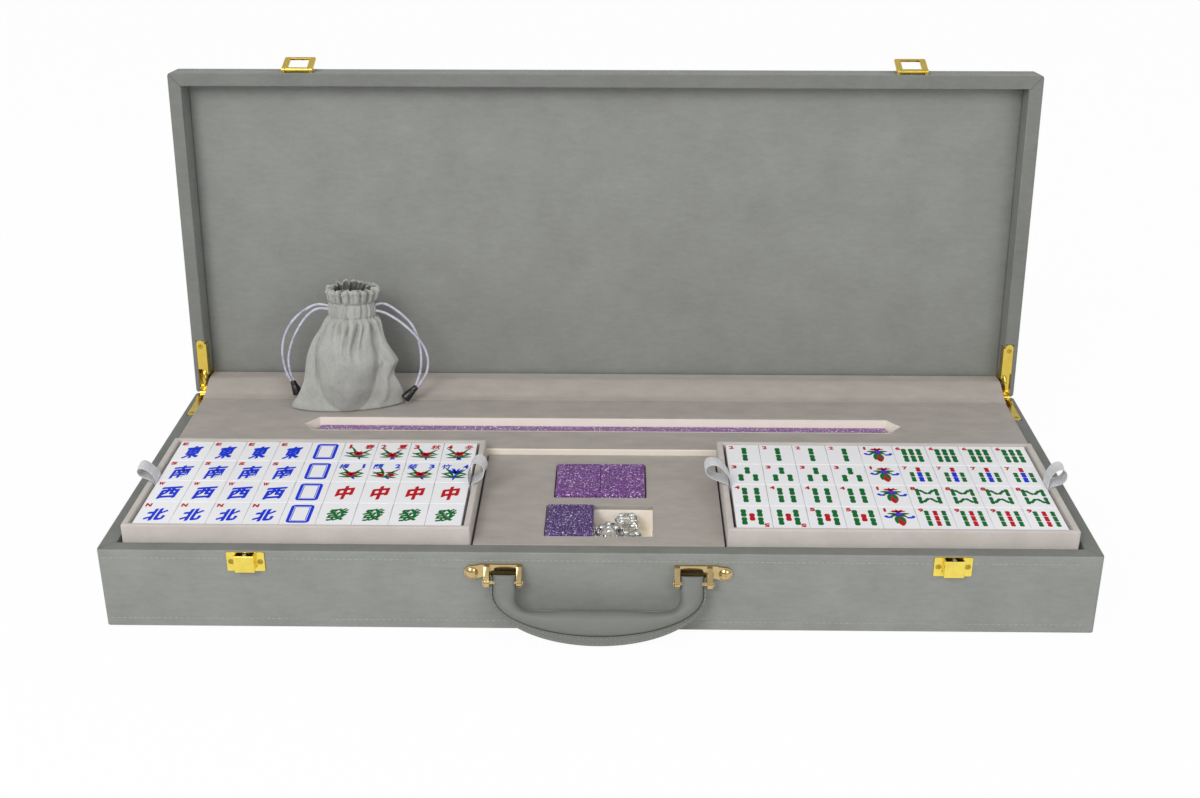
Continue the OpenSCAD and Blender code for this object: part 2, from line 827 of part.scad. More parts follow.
module lid_shell() {
    color("#888b85") opened() difference() {
        translate([0, 0, lid_z]) linear_extrude(lid_h) round_rect(case_w, case_d, corner_r);
        translate([0, 0, lid_z - nick]) linear_extrude(lid_h - lid_top_t + nick) {
            square([inner_w, inner_d], center = true);
        }
        both_sides() {
            lid_hinge_cuts();
            at_hasp_screw() small_screw_hole();
        }
    }
}

module lid_panel() {
    color("#8a8d87") opened() translate([0, 0, lid_inner_z - lid_panel_t]) {
        linear_extrude(lid_panel_t) round_rect(inner_w - 2 * fit, inner_d - 2 * fit, 1);
    }
}

// Latches, drawn on the right-hand side

module catch_plate() {
    color("#e8c24a") difference() {
        union() {
            translate([latch_x, front_y, catch_top_z - catch_h / 2]) rotate([90, 0, 0]) {
                linear_extrude(catch_t) round_rect(catch_w, catch_h, 1);
            }
            block(
                [latch_x - 1.2, spring_y, nose_foot_z + nose_travel + 3],
                [latch_x + 1.2, front_y - catch_t + 0.2, nose_foot_z + nose_travel + 5]
            );
        }
        at_catch_screws() small_screw_hole();
        translate([latch_x, spring_y, nose_foot_z]) cylinder(h = catch_h, r = spring_r + pin_press_gap);
    }
}

// Guide post of the nose, held in the catch plate's bracket
module catch_springs() {
    foot = nose_foot_z + nose_travel + 2.4;
    color("#c9c9c9") both_sides() translate([latch_x, spring_y, foot]) {
        cylinder(h = nose_top_z - 0.4 - foot, r = spring_r);
    }
}

module catch_screws() {
    color("#d8ac3a") both_sides() at_catch_screws() small_screw();
}

module catch_nose() {
    back_y = front_y - catch_t - nose_gap;
    x0 = latch_x - nose_w / 2;
    x1 = latch_x + nose_w / 2;
    foot = nose_foot_z;
    color("#e8c24a") difference() {
        union() {
            block([x0, nose_front_y, foot], [x1, back_y, nose_top_z]);
            block([x0, nose_front_y, foot - lip_drop], [x1, nose_front_y + lip_t, foot + nick]);
        }
        block([x0 + nose_wall, nose_front_y + nose_wall, foot + 2], [x1 - nose_wall, back_y + nick, base_h + nick]);
        translate([latch_x, nose_front_y, foot - lip_drop]) rotate([45, 0, 0]) cube([nose_w + nick, 1, 1], center = true);
    }
}

module hasp_plate() {
    knuckle_x = hasp_plate_w / 2 - hasp_knuckle_w;
    color("#e8c24a") opened() difference() {
        union() {
            translate([latch_x, front_y, (hasp_pin_z + hasp_plate_top_z) / 2]) rotate([90, 0, 0]) {
                linear_extrude(hasp_plate_t) round_rect(hasp_plate_w, hasp_plate_top_z - hasp_pin_z + 3, 1);
            }
            for (x = [knuckle_x, -hasp_plate_w / 2]) {
                rod_x(latch_x + x, latch_x + x + hasp_knuckle_w, hasp_mid_y, hasp_pin_z, hasp_barrel_r);
                block(
                    [latch_x + x, hasp_mid_y, hasp_pin_z - 1.4],
                    [latch_x + x + hasp_knuckle_w, front_y - 0.2, hasp_pin_z + 1.4]
                );
            }
        }
        rod_x(latch_x - hasp_w, latch_x + hasp_w, hasp_mid_y, hasp_pin_z, hasp_pin_r + pin_press_gap);
        block(
            [latch_x - knuckle_x, front_y - hasp_plate_t - nick, hasp_pin_z - 3],
            [latch_x + knuckle_x, front_y + nick, hasp_pin_z + hasp_barrel_r + 0.5]
        );
        at_hasp_screw() small_screw_hole();
    }
}

module hasp_pins() {
    color("#c8a034") opened() both_sides() {
        rod_x(latch_x - hasp_plate_w / 2 + 0.1, latch_x + hasp_plate_w / 2 - 0.1, hasp_mid_y, hasp_pin_z, hasp_pin_r);
    }
}

module hasp_screws() {
    color("#b8902e") opened() both_sides() at_hasp_screw() small_screw();
}

// Turns a hasp drawn hooked on its nose to where it rests, folded back over the lid's front
module folded_back() {
    translate([0, hasp_mid_y, hasp_pin_z]) rotate([hasp_rest - 180, 0, 0]) {
        translate([0, -hasp_mid_y, -hasp_pin_z]) children();
    }
}

module hasp() {
    barrel_half = hasp_plate_w / 2 - hasp_knuckle_w - 0.3;
    frame_h = hasp_pin_z - hasp_foot_z;
    color("#ecca55") opened() folded_back() difference() {
        union() {
            translate([latch_x, hasp_mid_y + hasp_t / 2, (hasp_pin_z + hasp_foot_z) / 2]) rotate([90, 0, 0]) {
                linear_extrude(hasp_t) round_rect(hasp_w, frame_h, 2);
            }
            rod_x(latch_x - barrel_half, latch_x + barrel_half, hasp_mid_y, hasp_pin_z, hasp_barrel_r);
        }
        block(
            [latch_x - window_w / 2, hasp_mid_y - hasp_barrel_r - nick, hasp_foot_z + hasp_bar],
            [latch_x + window_w / 2, hasp_mid_y + hasp_barrel_r + nick, window_top_z]
        );
        for (x = [barrel_half, -hasp_w / 2 - nick]) {
            rod_x(
                latch_x + x, latch_x + x + hasp_w / 2 + nick - barrel_half,
                hasp_mid_y, hasp_pin_z, hasp_barrel_r + 0.5
            );
        }
        rod_x(latch_x - hasp_w, latch_x + hasp_w, hasp_mid_y, hasp_pin_z, hasp_pin_r + shank_gap);
    }
}

// Handle, drawn in its own plane: Y down the handle from the pins, Z towards the hand
module in_handle_plane() {
    translate([0, handle_pin_y, handle_pin_z]) rotate([90 + handle_tilt, 180, 0]) children();
}

// Half ellipse below a straight shoulder
module grip_outline(half, reach) {
    translate([-half, grip_shoulder - nick]) square([2 * half, nick]);
    translate([0, grip_shoulder]) intersection() {
        ellipse(half, reach - grip_shoulder);
        translate([-half, 0]) square([2 * half, reach]);
    }
}

module ellipse(a, b) {
    polygon([for (i = [0 : 71]) [a * cos(i * 5), b * sin(i * 5)]]);
}

module grip_opening() {
    half = grip_half - grip_arm_w;
    r = grip_inner_r;
    translate([-half, -reach_up]) square([2 * half, grip_inner_reach - r + reach_up]);
    translate([-half + r, -reach_up]) square([2 * (half - r), grip_inner_reach + reach_up]);
    for (x = [-1, 1]) {
        translate([x * (half - r), grip_inner_reach - r]) circle(r);
    }
}

module handle_grip() {
    tab_top = -4.2;
    color("#7f837d") in_handle_plane() difference() {
        union() {
            translate([0, 0, -grip_back]) linear_extrude(grip_back + grip_front) difference() {
                grip_outline(seam_half, seam_reach);
                grip_opening();
            }
            for (x = [-1, 1]) {
                block(
                    [x * bracket_x - tab_w / 2, tab_top, -tab_half_t],
                    [x * bracket_x + tab_w / 2, grip_shoulder - nick - soft_gap, tab_half_t]
                );
                block(
                    [x * bracket_x - tab_w / 2 + 2.4, 0, -grip_back],
                    [x * bracket_x + tab_w / 2 - 2.4, grip_shoulder + 3, tab_half_t]
                );
            }
        }
        rod_x(-case_w / 2, case_w / 2, 0, 0, handle_pin_r + 0.1);
    }
}

module handle_backing() {
    color("#757973") in_handle_plane() translate([0, 0, -grip_back - backing_t]) {
        linear_extrude(backing_t) difference() {
            grip_outline(grip_half, handle_reach);
            grip_opening();
        }
    }
}

module bracket_face() {
    inner = tab_w / 2 + ear_gap + ear_t;
    translate([bracket_x - inner, bracket_foot_z]) square([2 * inner + 4, bracket_top_z - bracket_foot_z]);
    translate([bracket_x + rivet_x, rivet_z]) circle(rivet_lobe_r);
    polygon([
        [bracket_x + inner, bracket_foot_z], [bracket_x + rivet_x, rivet_z - rivet_lobe_r],
        [bracket_x + rivet_x, rivet_z + rivet_lobe_r], [bracket_x + inner, bracket_top_z]
    ]);
}

module ear(x) {
    plate_y = front_y - bracket_t + 0.2;
    profile_x(x, x + ear_t) {
        translate([handle_pin_y, handle_pin_z]) circle(ear_r);
        polygon([
            [plate_y, bracket_top_z], [plate_y - 3.4, bracket_top_z], [handle_pin_y - ear_r + 0.3, handle_pin_z + 1.4],
            [handle_pin_y + 1.4, handle_pin_z - ear_r + 0.3], [plate_y, bracket_foot_z]
        ]);
    }
}

module handle_bracket() {
    color("#d9bd84") difference() {
        union() {
            translate([0, front_y, 0]) rotate([90, 0, 0]) linear_extrude(bracket_t) bracket_face();
            ear(bracket_x - tab_w / 2 - ear_gap - ear_t);
            ear(bracket_x + tab_w / 2 + ear_gap);
        }
        rod_x(0, case_w / 2, handle_pin_y, handle_pin_z, handle_pin_r + pin_press_gap);
        at_rivet() cylinder(h = 24, r = rivet_shank_r + shank_gap, center = true);
    }
}

module handle_pins() {
    half = tab_w / 2 + ear_gap + ear_t;
    color("#cdb078") both_sides() {
        rod_x(bracket_x - half - 0.4, bracket_x + half + 0.4, handle_pin_y, handle_pin_z, handle_pin_r);
        rod_x(bracket_x - half - 1.2, bracket_x - half - 0.05, handle_pin_y, handle_pin_z, handle_pin_r + 0.8);
        rod_x(bracket_x + half + 0.05, bracket_x + half + 1.2, handle_pin_y, handle_pin_z, handle_pin_r + 0.8);
    }
}

// Domed head, a cap of a sphere, on a shank
module handle_rivets() {
    ball_r = (rivet_dome_r * rivet_dome_r + rivet_dome_h * rivet_dome_h) / (2 * rivet_dome_h);
    color("#e3cb96") both_sides() at_rivet() {
        intersection() {
            translate([0, 0, rivet_dome_h - ball_r]) sphere(ball_r);
            translate([0, 0, 0.05]) cylinder(h = rivet_dome_h, r = rivet_dome_r + nick);
        }
        translate([0, 0, -9]) cylinder(h = 9.5, r = rivet_shank_r);
    }
}

// Bag and its cords

module drawstring_bag() {
    foot_half = bag_w / 2 - bag_foot_r;
    color("#9a9d99") intersection() {
        union() {
            hull() {
                for (x = [-foot_half, 0, foot_half]) {
                    translate([bag_x + x, bag_foot_y, bag_z + bag_foot_r - 3]) sphere(bag_foot_r, $fn = 24);
                }
                for (x = [-10, 14]) {
                    translate([bag_x + x, bag_foot_y + 4, bag_z + 38]) sphere(24, $fn = 24);
                }
                oval(bag_neck_z - 8, 12, bag_neck_r);
            }
            hull() {
                oval(bag_neck_z, 2, bag_neck_r);
                oval(bag_z + bag_h - 4, 4, bag_frill_r);
            }
        }
        block([-case_w, -case_d, bag_z], [case_w, case_d, bag_z + bag_h]);
    }
}

// Oval slice of the bag's neck
module oval(z, h, r) {
    for (x = [-bag_neck_half, bag_neck_half]) {
        translate([bag_neck_x + x, bag_neck_y, z]) cylinder(h = h, r = r, $fn = 24);
    }
}

function unit3(v) = v / norm(v);
function shifted(route) = [for (p = route) p - CORD_ORIGIN + [0, deck_rear_y, deck_z]];

// Ring of a cord's tube at point i: a polygon square to the route there
function ring(route, i, r) = let(
    t = unit3(route[min(i + 1, len(route) - 1)] - route[max(i - 1, 0)]),
    u = unit3(cross(t, [0, 1, 0])),
    v = cross(t, u)
) [for (k = [0 : cord_sides - 1]) route[i] + r * (u * cos(360 * k / cord_sides) + v * sin(360 * k / cord_sides))];

module cord_tube(route, r) {
    last = len(route) - 1;
    n = cord_sides;
    polyhedron(
        points = [for (i = [0 : last]) each ring(route, i, r)],
        faces = concat(
            [[for (k = [0 : n - 1]) k]],
            [[for (k = [n - 1 : -1 : 0]) last * n + k]],
            [for (i = [0 : last - 1], k = [0 : n - 1])
                [i * n + k, (i + 1) * n + k, (i + 1) * n + (k + 1) % n, i * n + (k + 1) % n]]
        )
    );
}

module drawcords() {
    color("#b9b9c2") {
        for (route = [ROUTE_LEFT_OUTER, ROUTE_LEFT_INNER, ROUTE_RIGHT_OUTER, ROUTE_RIGHT_INNER]) {
            cord_tube(shifted(route), cord_d / 2);
        }
    }
}

// Tapered plug between two points
module cord_end(ends) {
    top = shifted(ends)[0];
    axis = shifted(ends)[1] - top;
    turn = atan2(axis[1], axis[0]);
    tilt = acos(axis[2] / norm(axis));
    translate(top) rotate([0, tilt, turn]) cylinder(h = norm(axis), r1 = cord_end_r[0], r2 = cord_end_r[1]);
}

module cord_ends() {
    color("#1c1c1e") {
        cord_end(CORD_END_LEFT);
        cord_end(CORD_END_RIGHT);
    }
}

base_frame();
base_bottom();
riser_pads();
rear_deck();
rack_slot_liner();
centre_insert();
spare_tile_well();
dice_well();
hinge_cloth();
on_side(-1) base_leaf();  // hinge_leaf_base_left
on_side(1) base_leaf();  // hinge_leaf_base_right
hinge_pins();
hinge_screws_base();
on_side(-1) catch_plate();  // catch_plate_left
on_side(1) catch_plate();  // catch_plate_right
catch_springs();
catch_screws();
on_side(-1) handle_bracket();  // handle_bracket_left
on_side(1) handle_bracket();  // handle_bracket_right
handle_pins();
handle_rivets();
drawstring_bag();
drawcords();
cord_ends();
lid_shell();
lid_panel();
on_side(-1) lid_leaf();  // hinge_leaf_lid_left
on_side(1) lid_leaf();  // hinge_leaf_lid_right
hinge_screws_lid();
on_side(-1) hasp_plate();  // hasp_plate_left
on_side(1) hasp_plate();  // hasp_plate_right
hasp_pins();
hasp_screws();
on_side(-1) hasp();  // hasp_left
on_side(1) hasp();  // hasp_right
on_side(-1) catch_nose();  // catch_nose_left
on_side(1) catch_nose();  // catch_nose_right
handle_grip();
handle_backing();
tray(-tray_x, lower_tray_z);  // tray_lower_left
tray(tray_x, lower_tray_z);  // tray_lower_right
tray(-tray_x, upper_tray_z);  // tray_upper_left
tray(tray_x, upper_tray_z);  // tray_upper_right
tile_block(-tray_x, lower_tray_z + tray_floor_t);  // tiles_lower_left
tile_block(tray_x, lower_tray_z + tray_floor_t);  // tiles_lower_right
tile_block(-tray_x, upper_tray_z + tray_floor_t);  // tiles_upper_left
tile_block(tray_x, upper_tray_z + tray_floor_t);  // tiles_upper_right
ribbons_lower(-1);  // ribbons_lower_left
ribbons_lower(1);  // ribbons_lower_right
ribbons_upper_left();
ribbons_upper_right();
spare_tiles();
dealer_block();
dice();
rack(0);  // rack_1
rack(1);  // rack_2
rack(2);  // rack_3
rack(3);  // rack_4
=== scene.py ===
"""Mahjong case, open, with its set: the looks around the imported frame. Shapes are in mm until they are pieces."""

from __future__ import annotations

import functools
import json
import logging
import math
from contextlib import contextmanager
from dataclasses import dataclass, field
from enum import Enum
from typing import Any, Callable, Iterable, Iterator, Sequence

import bmesh
import bpy
import numpy as np
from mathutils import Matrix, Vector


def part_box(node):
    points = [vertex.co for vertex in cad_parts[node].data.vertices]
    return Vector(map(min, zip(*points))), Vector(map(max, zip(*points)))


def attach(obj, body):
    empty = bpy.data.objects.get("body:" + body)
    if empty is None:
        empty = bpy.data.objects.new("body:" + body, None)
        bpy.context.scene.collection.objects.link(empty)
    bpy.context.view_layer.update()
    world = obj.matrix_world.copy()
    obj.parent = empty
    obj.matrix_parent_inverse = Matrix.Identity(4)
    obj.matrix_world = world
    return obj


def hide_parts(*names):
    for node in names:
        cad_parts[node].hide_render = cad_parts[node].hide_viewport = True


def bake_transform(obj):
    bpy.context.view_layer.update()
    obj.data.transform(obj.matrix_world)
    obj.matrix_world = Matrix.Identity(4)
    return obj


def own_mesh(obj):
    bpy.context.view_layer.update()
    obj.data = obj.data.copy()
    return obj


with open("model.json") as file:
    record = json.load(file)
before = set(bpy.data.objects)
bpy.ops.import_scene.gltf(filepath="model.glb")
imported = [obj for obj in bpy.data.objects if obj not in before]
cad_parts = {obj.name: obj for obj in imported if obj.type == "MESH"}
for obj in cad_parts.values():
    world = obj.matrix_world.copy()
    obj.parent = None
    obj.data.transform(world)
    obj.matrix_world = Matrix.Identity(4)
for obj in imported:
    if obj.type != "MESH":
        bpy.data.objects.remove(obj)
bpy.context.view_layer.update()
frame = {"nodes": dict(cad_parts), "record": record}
LOG = logging.getLogger("mahjong_case")
MM = 0.001
CRISP_DEG = 38.0  # faces that meet at a larger angle keep a crisp edge
ON_LINE = 0.03  # how near to a line, in mm, a place counts as on it
Colour = tuple[float, float, float]
Rule = Callable[[np.ndarray, np.ndarray], np.ndarray]
BODY_OF = {node: body for body, nodes in frame["record"]["behaviour"]["bodies"].items() for node in nodes}


# ---------------------------------------------------------------- shapes


def quads(rows: int, cols: int, close_rows: bool = False, close_cols: bool = False) -> np.ndarray:
    """Corner numbers of the cells of a grid of points.

    Args:
        rows: points along the first parameter.
        cols: points along the second parameter.
        close_rows: whether the last row joins the first.
        close_cols: whether the last column joins the first.
    Returns:
        Four point numbers for each cell.
    """
    i, j = np.meshgrid(np.arange(rows if close_rows else rows - 1), np.arange(cols if close_cols else cols - 1),
                       indexing="ij")
    i, j = i.ravel(), j.ravel()
    i2, j2 = (i + 1) % rows, (j + 1) % cols
    return np.stack([i * cols + j, i * cols + j2, i2 * cols + j2, i2 * cols + j], axis=1)


@dataclass
class Shape:
    """Points in mm, with faces of any size as one flat list of corners.

    Attributes:
        points: places of the points.
        corners: point numbers of all faces, one after another.
        sizes: how many corners each face has.
        paint: number of each face's finish.
    """

    points: np.ndarray
    corners: np.ndarray
    sizes: np.ndarray
    paint: np.ndarray

    @classmethod
    def of(cls, points: np.ndarray, *faces: np.ndarray) -> Shape:
        """A shape from its points and blocks of faces, each block with one number of corners."""
        sizes = np.concatenate([np.full(len(block), block.shape[1]) for block in faces])
        return cls(np.asarray(points, float).reshape(-1, 3), np.concatenate([block.ravel() for block in faces]),
                   sizes, np.zeros(len(sizes), int))

    @classmethod
    def joined(cls, shapes: Iterable[Shape]) -> Shape:
        """One shape of several, each with its own points."""
        parts = list(shapes)
        starts = np.cumsum([0] + [len(part.points) for part in parts[:-1]])
        return cls(np.concatenate([part.points for part in parts]),
                   np.concatenate([part.corners + start for part, start in zip(parts, starts)]),
                   np.concatenate([part.sizes for part in parts]), np.concatenate([part.paint for part in parts]))

    def __add__(self, other: Shape) -> Shape:
        """Both shapes as one."""
        return Shape.joined([self, other])

    def at(self, places: Sequence[Any] | np.ndarray) -> Shape:
        """Copies of the shape, one moved to each place."""
        return self.many(self.points + np.atleast_2d(np.asarray(places, float))[:, None])

    def many(self, points: np.ndarray) -> Shape:
        """Copies with the same faces, each with points of its own: an array of copies by points by 3."""
        count, size = points.shape[:2]
        corners = self.corners + np.arange(count)[:, None] * size
        return Shape(points.reshape(-1, 3), corners.ravel(), np.tile(self.sizes, count), np.tile(self.paint, count))

    def turned(self, degrees: float, axis: int = 2, about: Sequence[float] = (0, 0, 0)) -> Shape:
        """The shape turned by an angle about an axis through a point."""
        return Shape((self.points - about) @ turn(degrees, axis).T + about, self.corners, self.sizes, self.paint)

    def painted(self, number: int) -> Shape:
        """The shape with every face in one finish."""
        return Shape(self.points, self.corners, self.sizes, np.full(len(self.sizes), number))


def turn(degrees: float, axis: int) -> np.ndarray:
    """Rotation matrix by an angle about the X, Y or Z axis (0, 1 or 2)."""
    c, s = math.cos(math.radians(degrees)), math.sin(math.radians(degrees))
    a, b = [(1, 2), (2, 0), (0, 1)][axis]
    matrix = np.eye(3)
    matrix[a, a] = matrix[b, b] = c
    matrix[a, b], matrix[b, a] = -s, s
    return matrix


def loft(rings: np.ndarray, hoop: bool = False) -> Shape:
    """A skin over closed rings of points, with a flat face at each end.

    Args:
        rings: rings by points by 3.
        hoop: whether the last ring joins the first, in place of the end faces.
    """
    rows, cols = rings.shape[:2]
    faces = [quads(rows, cols, hoop, True)]
    if not hoop:
        faces += [np.arange(cols)[None, ::-1], (rows - 1) * cols + np.arange(cols)[None]]
    return Shape.of(rings.reshape(-1, 3), *faces)


def rings_of(rows: np.ndarray, steps: int = 4) -> np.ndarray:
    """Rounded rectangles, one above another.

    Each row is (half width, half depth, corner radius, height). A corner's points are its centre plus the radius
    times the cosine and sine of an angle that runs through a quarter turn.

    Args:
        rows: one row for each ring.
        steps: parts of each quarter turn.
    Returns:
        Rings by points by 3.
    """
    rows = np.asarray(rows, float)
    angle = np.radians(np.concatenate([np.linspace(q, q + 90, steps + 1) for q in (0, 90, 180, 270)]))
    sign_x, sign_y = (np.repeat(signs, steps + 1) for signs in ((1, -1, -1, 1), (1, 1, -1, -1)))
    hx, hy, r, z = (rows[:, [k]] for k in range(4))
    return np.stack([sign_x * (hx - r) + r * np.cos(angle), sign_y * (hy - r) + r * np.sin(angle),
                     np.broadcast_to(z, (len(rows), len(angle)))], axis=2)


def block(lo: Sequence[float], hi: Sequence[float], radius: float, steps: int = 3) -> Shape:
    """A closed block with rounded edges.

    The rings go up through a quarter circle of the radius, then up the sides and through a second quarter circle.
    """
    lo, hi = np.asarray(lo, float), np.asarray(hi, float)
    half = (hi - lo) / 2
    a = np.radians(np.linspace(-90, 0, steps + 1))
    inset, rise = radius * (1 - np.cos(a)), radius * (1 + np.sin(a))
    low = np.stack([half[0] - inset, half[1] - inset, np.maximum(radius - inset, 0.03), lo[2] + rise], axis=1)
    high = low[::-1].copy()
    high[:, 3] = hi[2] - rise[::-1]
    middle = np.array([(lo[0] + hi[0]) / 2, (lo[1] + hi[1]) / 2, 0])
    return loft(rings_of(np.concatenate([low, high]), steps) + middle)


def tub(outer: Sequence[float], inner: Sequence[float], z: Sequence[float], rim: float, foot: float) -> Shape:
    """An open box with a soft rim.

    Args:
        outer: half width, half depth and corner radius outside.
        inner: the same inside.
        z: height of the underside, of the floor inside and of the rim.
        rim: radius of the rim's edges.
        foot: radius of the lower edges.
    """
    low, floor, top = z
    a, b = np.radians(np.linspace(-90, 0, 5)), np.radians(np.linspace(0, 90, 5))

    def rows(half: Sequence[float], grow: np.ndarray, height: np.ndarray) -> np.ndarray:
        """Rings whose half sizes and corner radius all grow by the same amounts."""
        return np.stack([half[0] + grow, half[1] + grow, np.maximum(half[2] + grow, 0.05), height], axis=1)

    return loft(rings_of(np.concatenate([
        rows(outer, foot * (np.cos(a) - 1), low + foot * (1 + np.sin(a))),
        rows(outer, rim * (np.cos(b) - 1), top - rim * (1 - np.sin(b))),
        rows(inner, rim * (1 - np.cos(b[::-1])), top - rim * (1 - np.sin(b[::-1]))),
        rows(inner, foot * (np.cos(a[::-1]) - 1), floor + foot * (1 + np.sin(a[::-1]))),
    ])))


def along(points: np.ndarray, count: int) -> np.ndarray:
    """A smooth open line through points: on each stretch a cubic blend of its ends and of the slopes at them.

    The slope at a point is half the step from the point before to the one after. The result is spaced evenly.
    """
    points = np.asarray(points, float)
    padded = np.concatenate([[2 * points[0] - points[1]], points, [2 * points[-1] - points[-2]]])
    t = np.linspace(0, 1, 24, endpoint=False)[None, :, None]
    p0, p1, p2, p3 = (padded[k:len(padded) - 3 + k, None, :] for k in range(4))
    fine = 0.5 * (2 * p1 + (p2 - p0) * t + (2 * p0 - 5 * p1 + 4 * p2 - p3) * t ** 2
                  + (3 * p1 - p0 - 3 * p2 + p3) * t ** 3)
    fine = np.concatenate([fine.reshape(-1, points.shape[1]), points[-1:]])
    return spaced(fine, count)


def spaced(line: np.ndarray, count: int) -> np.ndarray:
    """The same line as evenly spaced points."""
    run = np.concatenate([[0], np.cumsum(np.linalg.norm(np.diff(line, axis=0), axis=1))])
    want = np.linspace(0, run[-1], count)
    return np.stack([np.interp(want, run, line[:, k]) for k in range(line.shape[1])], axis=1)


def run_of(line: np.ndarray) -> float:
    """Length of a line through points."""
    return float(np.linalg.norm(np.diff(line, axis=0), axis=1).sum())


def directions(rows: np.ndarray) -> np.ndarray:
    """Each row scaled to length one."""
    return rows / np.linalg.norm(rows, axis=1, keepdims=True)


def turn_angles(count: int) -> np.ndarray:
    """Angles in even steps round a full turn."""
    return np.linspace(0, 2 * np.pi, count, endpoint=False)


def frames_along(path: np.ndarray, up: Sequence[float]) -> tuple[np.ndarray, np.ndarray]:
    """Unit side and top directions at each point of a path: the side is the run crossed with up."""
    ahead = np.roll(path, -1, axis=0) - np.roll(path, 1, axis=0)
    ahead[0], ahead[-1] = path[1] - path[0], path[-1] - path[-2]
    ahead = directions(ahead)
    side = np.cross(ahead, np.broadcast_to(np.asarray(up, float), path.shape))
    side /= np.maximum(np.linalg.norm(side, axis=1, keepdims=True), 1e-9)
    return side, np.cross(side, ahead)


def tube(path: np.ndarray, radius: float | np.ndarray, sides: int, up: Sequence[float], flat: float = 1.0) -> Shape:
    """A round bar along a path: each ring is the path's point plus side cosine plus top sine, times the radius."""
    side, top = frames_along(path, up)
    angle = turn_angles(sides)
    size = np.broadcast_to(np.asarray(radius, float), (len(path),))[:, None, None]
    rings = path[:, None] + size * (np.cos(angle)[None, :, None] * side[:, None]
                                    + flat * np.sin(angle)[None, :, None] * top[:, None])
    return loft(rings)


def spun(profile: np.ndarray, sides: int) -> Shape:
    """A turned shape: each (radius, height) of the profile is carried round the Z axis."""
    angle = turn_angles(sides)
    r, z = profile[:, :1], profile[:, 1:]
    return loft(np.stack([r * np.cos(angle), r * np.sin(angle), np.broadcast_to(z, (len(profile), sides))], axis=2))


def prisms(outlines: np.ndarray, z0: float, z1: float) -> Shape:
    """Flat tablets, one for each outline, from height z0 to z1.

    Args:
        outlines: outlines by points by 2, each counter-clockwise.
    """
    size = outlines.shape[1]
    points = np.concatenate([np.concatenate([outlines, np.full((*outlines.shape[:2], 1), z)], axis=2)
                             for z in (z0, z1)], axis=1)
    ends = np.stack([np.arange(size)[::-1], size + np.arange(size)])
    return Shape.of(points[0], quads(2, size, False, True), ends).many(points)


def capsules(starts: np.ndarray, ends: np.ndarray, radius: float) -> Shape:
    """Short rounded bars, such as stitches, each between two points.

    Each bar has four rings, the outer two small, so that its ends are round. A ring is the point on the bar's line
    plus two directions square to the line, times the cosine and sine of an angle.
    """
    run = directions(ends - starts)
    ref = np.where(np.abs(run[:, [2]]) > 0.9, [[1.0, 0, 0]], [[0, 0, 1.0]])
    side = directions(np.cross(run, ref))
    top = np.cross(side, run)
    angle = turn_angles(6)
    place = np.array([0.0, radius * 0.7, -radius * 0.7, 0.0])
    size = radius * np.array([0.35, 1, 1, 0.35])
    base = np.stack([starts, starts, ends, ends], axis=1) + run[:, None] * place[None, :, None]
    spoke = side[:, None] * np.cos(angle)[None, :, None] + top[:, None] * np.sin(angle)[None, :, None]
    points = base[:, :, None] + size[None, :, None, None] * spoke[:, None]
    return loft(points[0]).many(points.reshape(len(points), -1, 3))


def stitches(path: np.ndarray, pitch: float, share: float = 0.68, radius: float = 0.3) -> Shape:
    """A row of stitches along a line: one bar for each step of the pitch, with a gap to the next."""
    count, parts = round(run_of(path) / pitch), 20
    marks = spaced(path, count * parts + 1)
    return capsules(marks[:-1:parts], marks[round(parts * share)::parts][:count], radius)


# ---------------------------------------------------------------- shaders


class Wire:
    """One output socket, on which arithmetic adds Math nodes."""

    def __init__(self, graph: Graph, socket: bpy.types.NodeSocket) -> None:
        """Keep the graph and the socket."""
        self.graph, self.socket = graph, socket

    def calc(self, operation: str, *values: Any) -> Wire:
        """A Math node of this operation on the values."""
        return self.graph.node("ShaderNodeMath", {"operation": operation}, dict(enumerate(values)))

    def __add__(self, other: Any) -> Wire:
        """Sum."""
        return self.calc("ADD", self, other)

    def __mul__(self, other: Any) -> Wire:
        """Product."""
        return self.calc("MULTIPLY", self, other)

    def over(self, edge: float) -> Wire:
        """1 where the value is above the edge, else 0."""
        return self.calc("GREATER_THAN", self, edge)

    def most(self, other: Any) -> Wire:
        """The larger of two values."""
        return self.calc("MAXIMUM", self, other)


